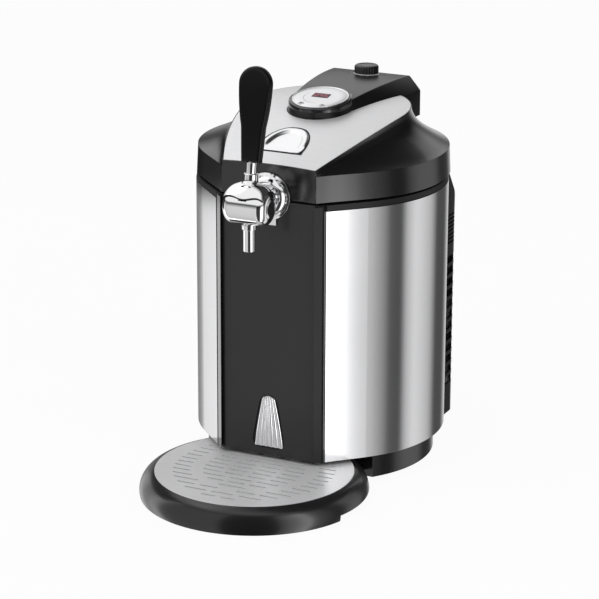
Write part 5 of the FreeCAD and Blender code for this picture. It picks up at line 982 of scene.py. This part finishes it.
# %% [markdown]
# ## Panel edges
#
# The front panel ends in two slanted edges. The solid model could be cut into more
# faces for them, but they are thin strips that are clipped on, so each is a flat bar
# along the drum's 45 degree corner. The left bar has a paler, glossier finish, a
# painted highlight, and the right bar a dull black one, painted shade.

# %% Panel edges
DRUM, FRONT_HALF, EDGE_WIDE, EDGE_MARGIN, PROUD = 132.0, 51.5, 7.8, 0.5, 0.3
CORNER_SUM = DRUM * math.sqrt(2)
PANEL_MARGIN = 1
panel_low, panel_high = [corner[2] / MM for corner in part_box("front_panel")]
# paler and glossier than the right edge: a painted highlight on the left edge
edge_highlight_gloss = moulded("edge_highlight_gloss", (0.022, 0.022, 0.023), 0.20, relief=0.04, coat=1.0, shine=0.6)


def edge_strip(side):
    """Fill for the strip on one side, -1 for left and 1 for right."""
    near, far = FRONT_HALF + EDGE_MARGIN, FRONT_HALF + EDGE_WIDE - EDGE_MARGIN

    def fill(bm):
        plan = []
        for reach, out in ((near, 0), (near, PROUD), (far, PROUD), (far, 0)):
            push = out / math.sqrt(2)
            plan.append((side * (reach + push), -(CORNER_SUM - reach) - push))
        skin_rings(bm, [[Vector((x, y, z)) * MM for x, y in plan]
                        for z in (panel_low + PANEL_MARGIN, panel_high - PANEL_MARGIN)])
    return fill


# left edge lit by the paler finish, right edge shaded by the dull black: painted highlight and painted
# shade
for label, side, edge_skin in (("left", -1, edge_highlight_gloss), ("right", 1, dull_black_and_edge_shade)):
    strip = dress("panel_edge_" + label, "base", "front_gloss", edge_strip(side), edge_skin)
    print(strip.name, "%.0f mm long" % (panel_high - panel_low - 2 * PANEL_MARGIN))

# %% [markdown]
# ## Fluted badge
#
# The badge is a plated fan of flutes, narrower at its top, set into a shallow recess
# of the front panel. A texture of stripes would lie flat under the lights, so each
# flute is a real rounded rib that meets its neighbours in a sharp valley.

# %% Badge
badge_low, badge_high = [Vector(corner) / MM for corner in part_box("front_badge")]
FLUTES, FLUTE_DEEP, FLUTE_CURVE, BADGE_ROWS, FLUTE_STEPS = 6, 1.3, 0.7, 28, 10
BADGE_FOOT, BADGE_NECK, BADGE_SHOULDER, BADGE_CURVE, BADGE_INSET = 0.98, 0.46, 0.93, 1.25, 0.1


def badge_half(share):
    """Half width of the badge at a height share of 0 to 1: a bell that narrows upwards."""
    foot = (badge_high.x - badge_low.x) / 2
    if share > BADGE_SHOULDER:
        up = (share - BADGE_SHOULDER) / (1 - BADGE_SHOULDER)
        return foot * BADGE_NECK * math.sqrt(max(1 - up ** 2, 0.02))
    return foot * (BADGE_FOOT - (BADGE_FOOT - BADGE_NECK) * (share / BADGE_SHOULDER) ** BADGE_CURVE)


def badge_flutes(bm):
    columns = FLUTES * FLUTE_STEPS
    middle = (badge_low.x + badge_high.x) / 2
    rings = []
    for i in range(BADGE_ROWS + 1):
        share = i / BADGE_ROWS
        z = badge_low.z + (badge_high.z - badge_low.z) * share
        half = badge_half(share)
        line = []
        for j in range(columns + 1):
            u = -1 + 2 * j / columns
            ridge = abs(math.sin(math.pi * FLUTES * (u + 1) / 2)) ** FLUTE_CURVE
            y = badge_low.y + BADGE_INSET + FLUTE_DEEP * (1 - ridge)
            line.append(Vector((middle + u * half, y, z)) * MM)
        line += [Vector((middle + u * half, badge_high.y, z)) * MM for u in (1, -1)]
        rings.append(line)
    skin_rings(bm, rings)


badge = dress("fluted_badge", "base", "badge_silver", badge_flutes, crease=60)
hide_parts("front_badge")
print("badge:", FLUTES, "flutes", [round(v, 1) for v in (*badge_low, *badge_high)])
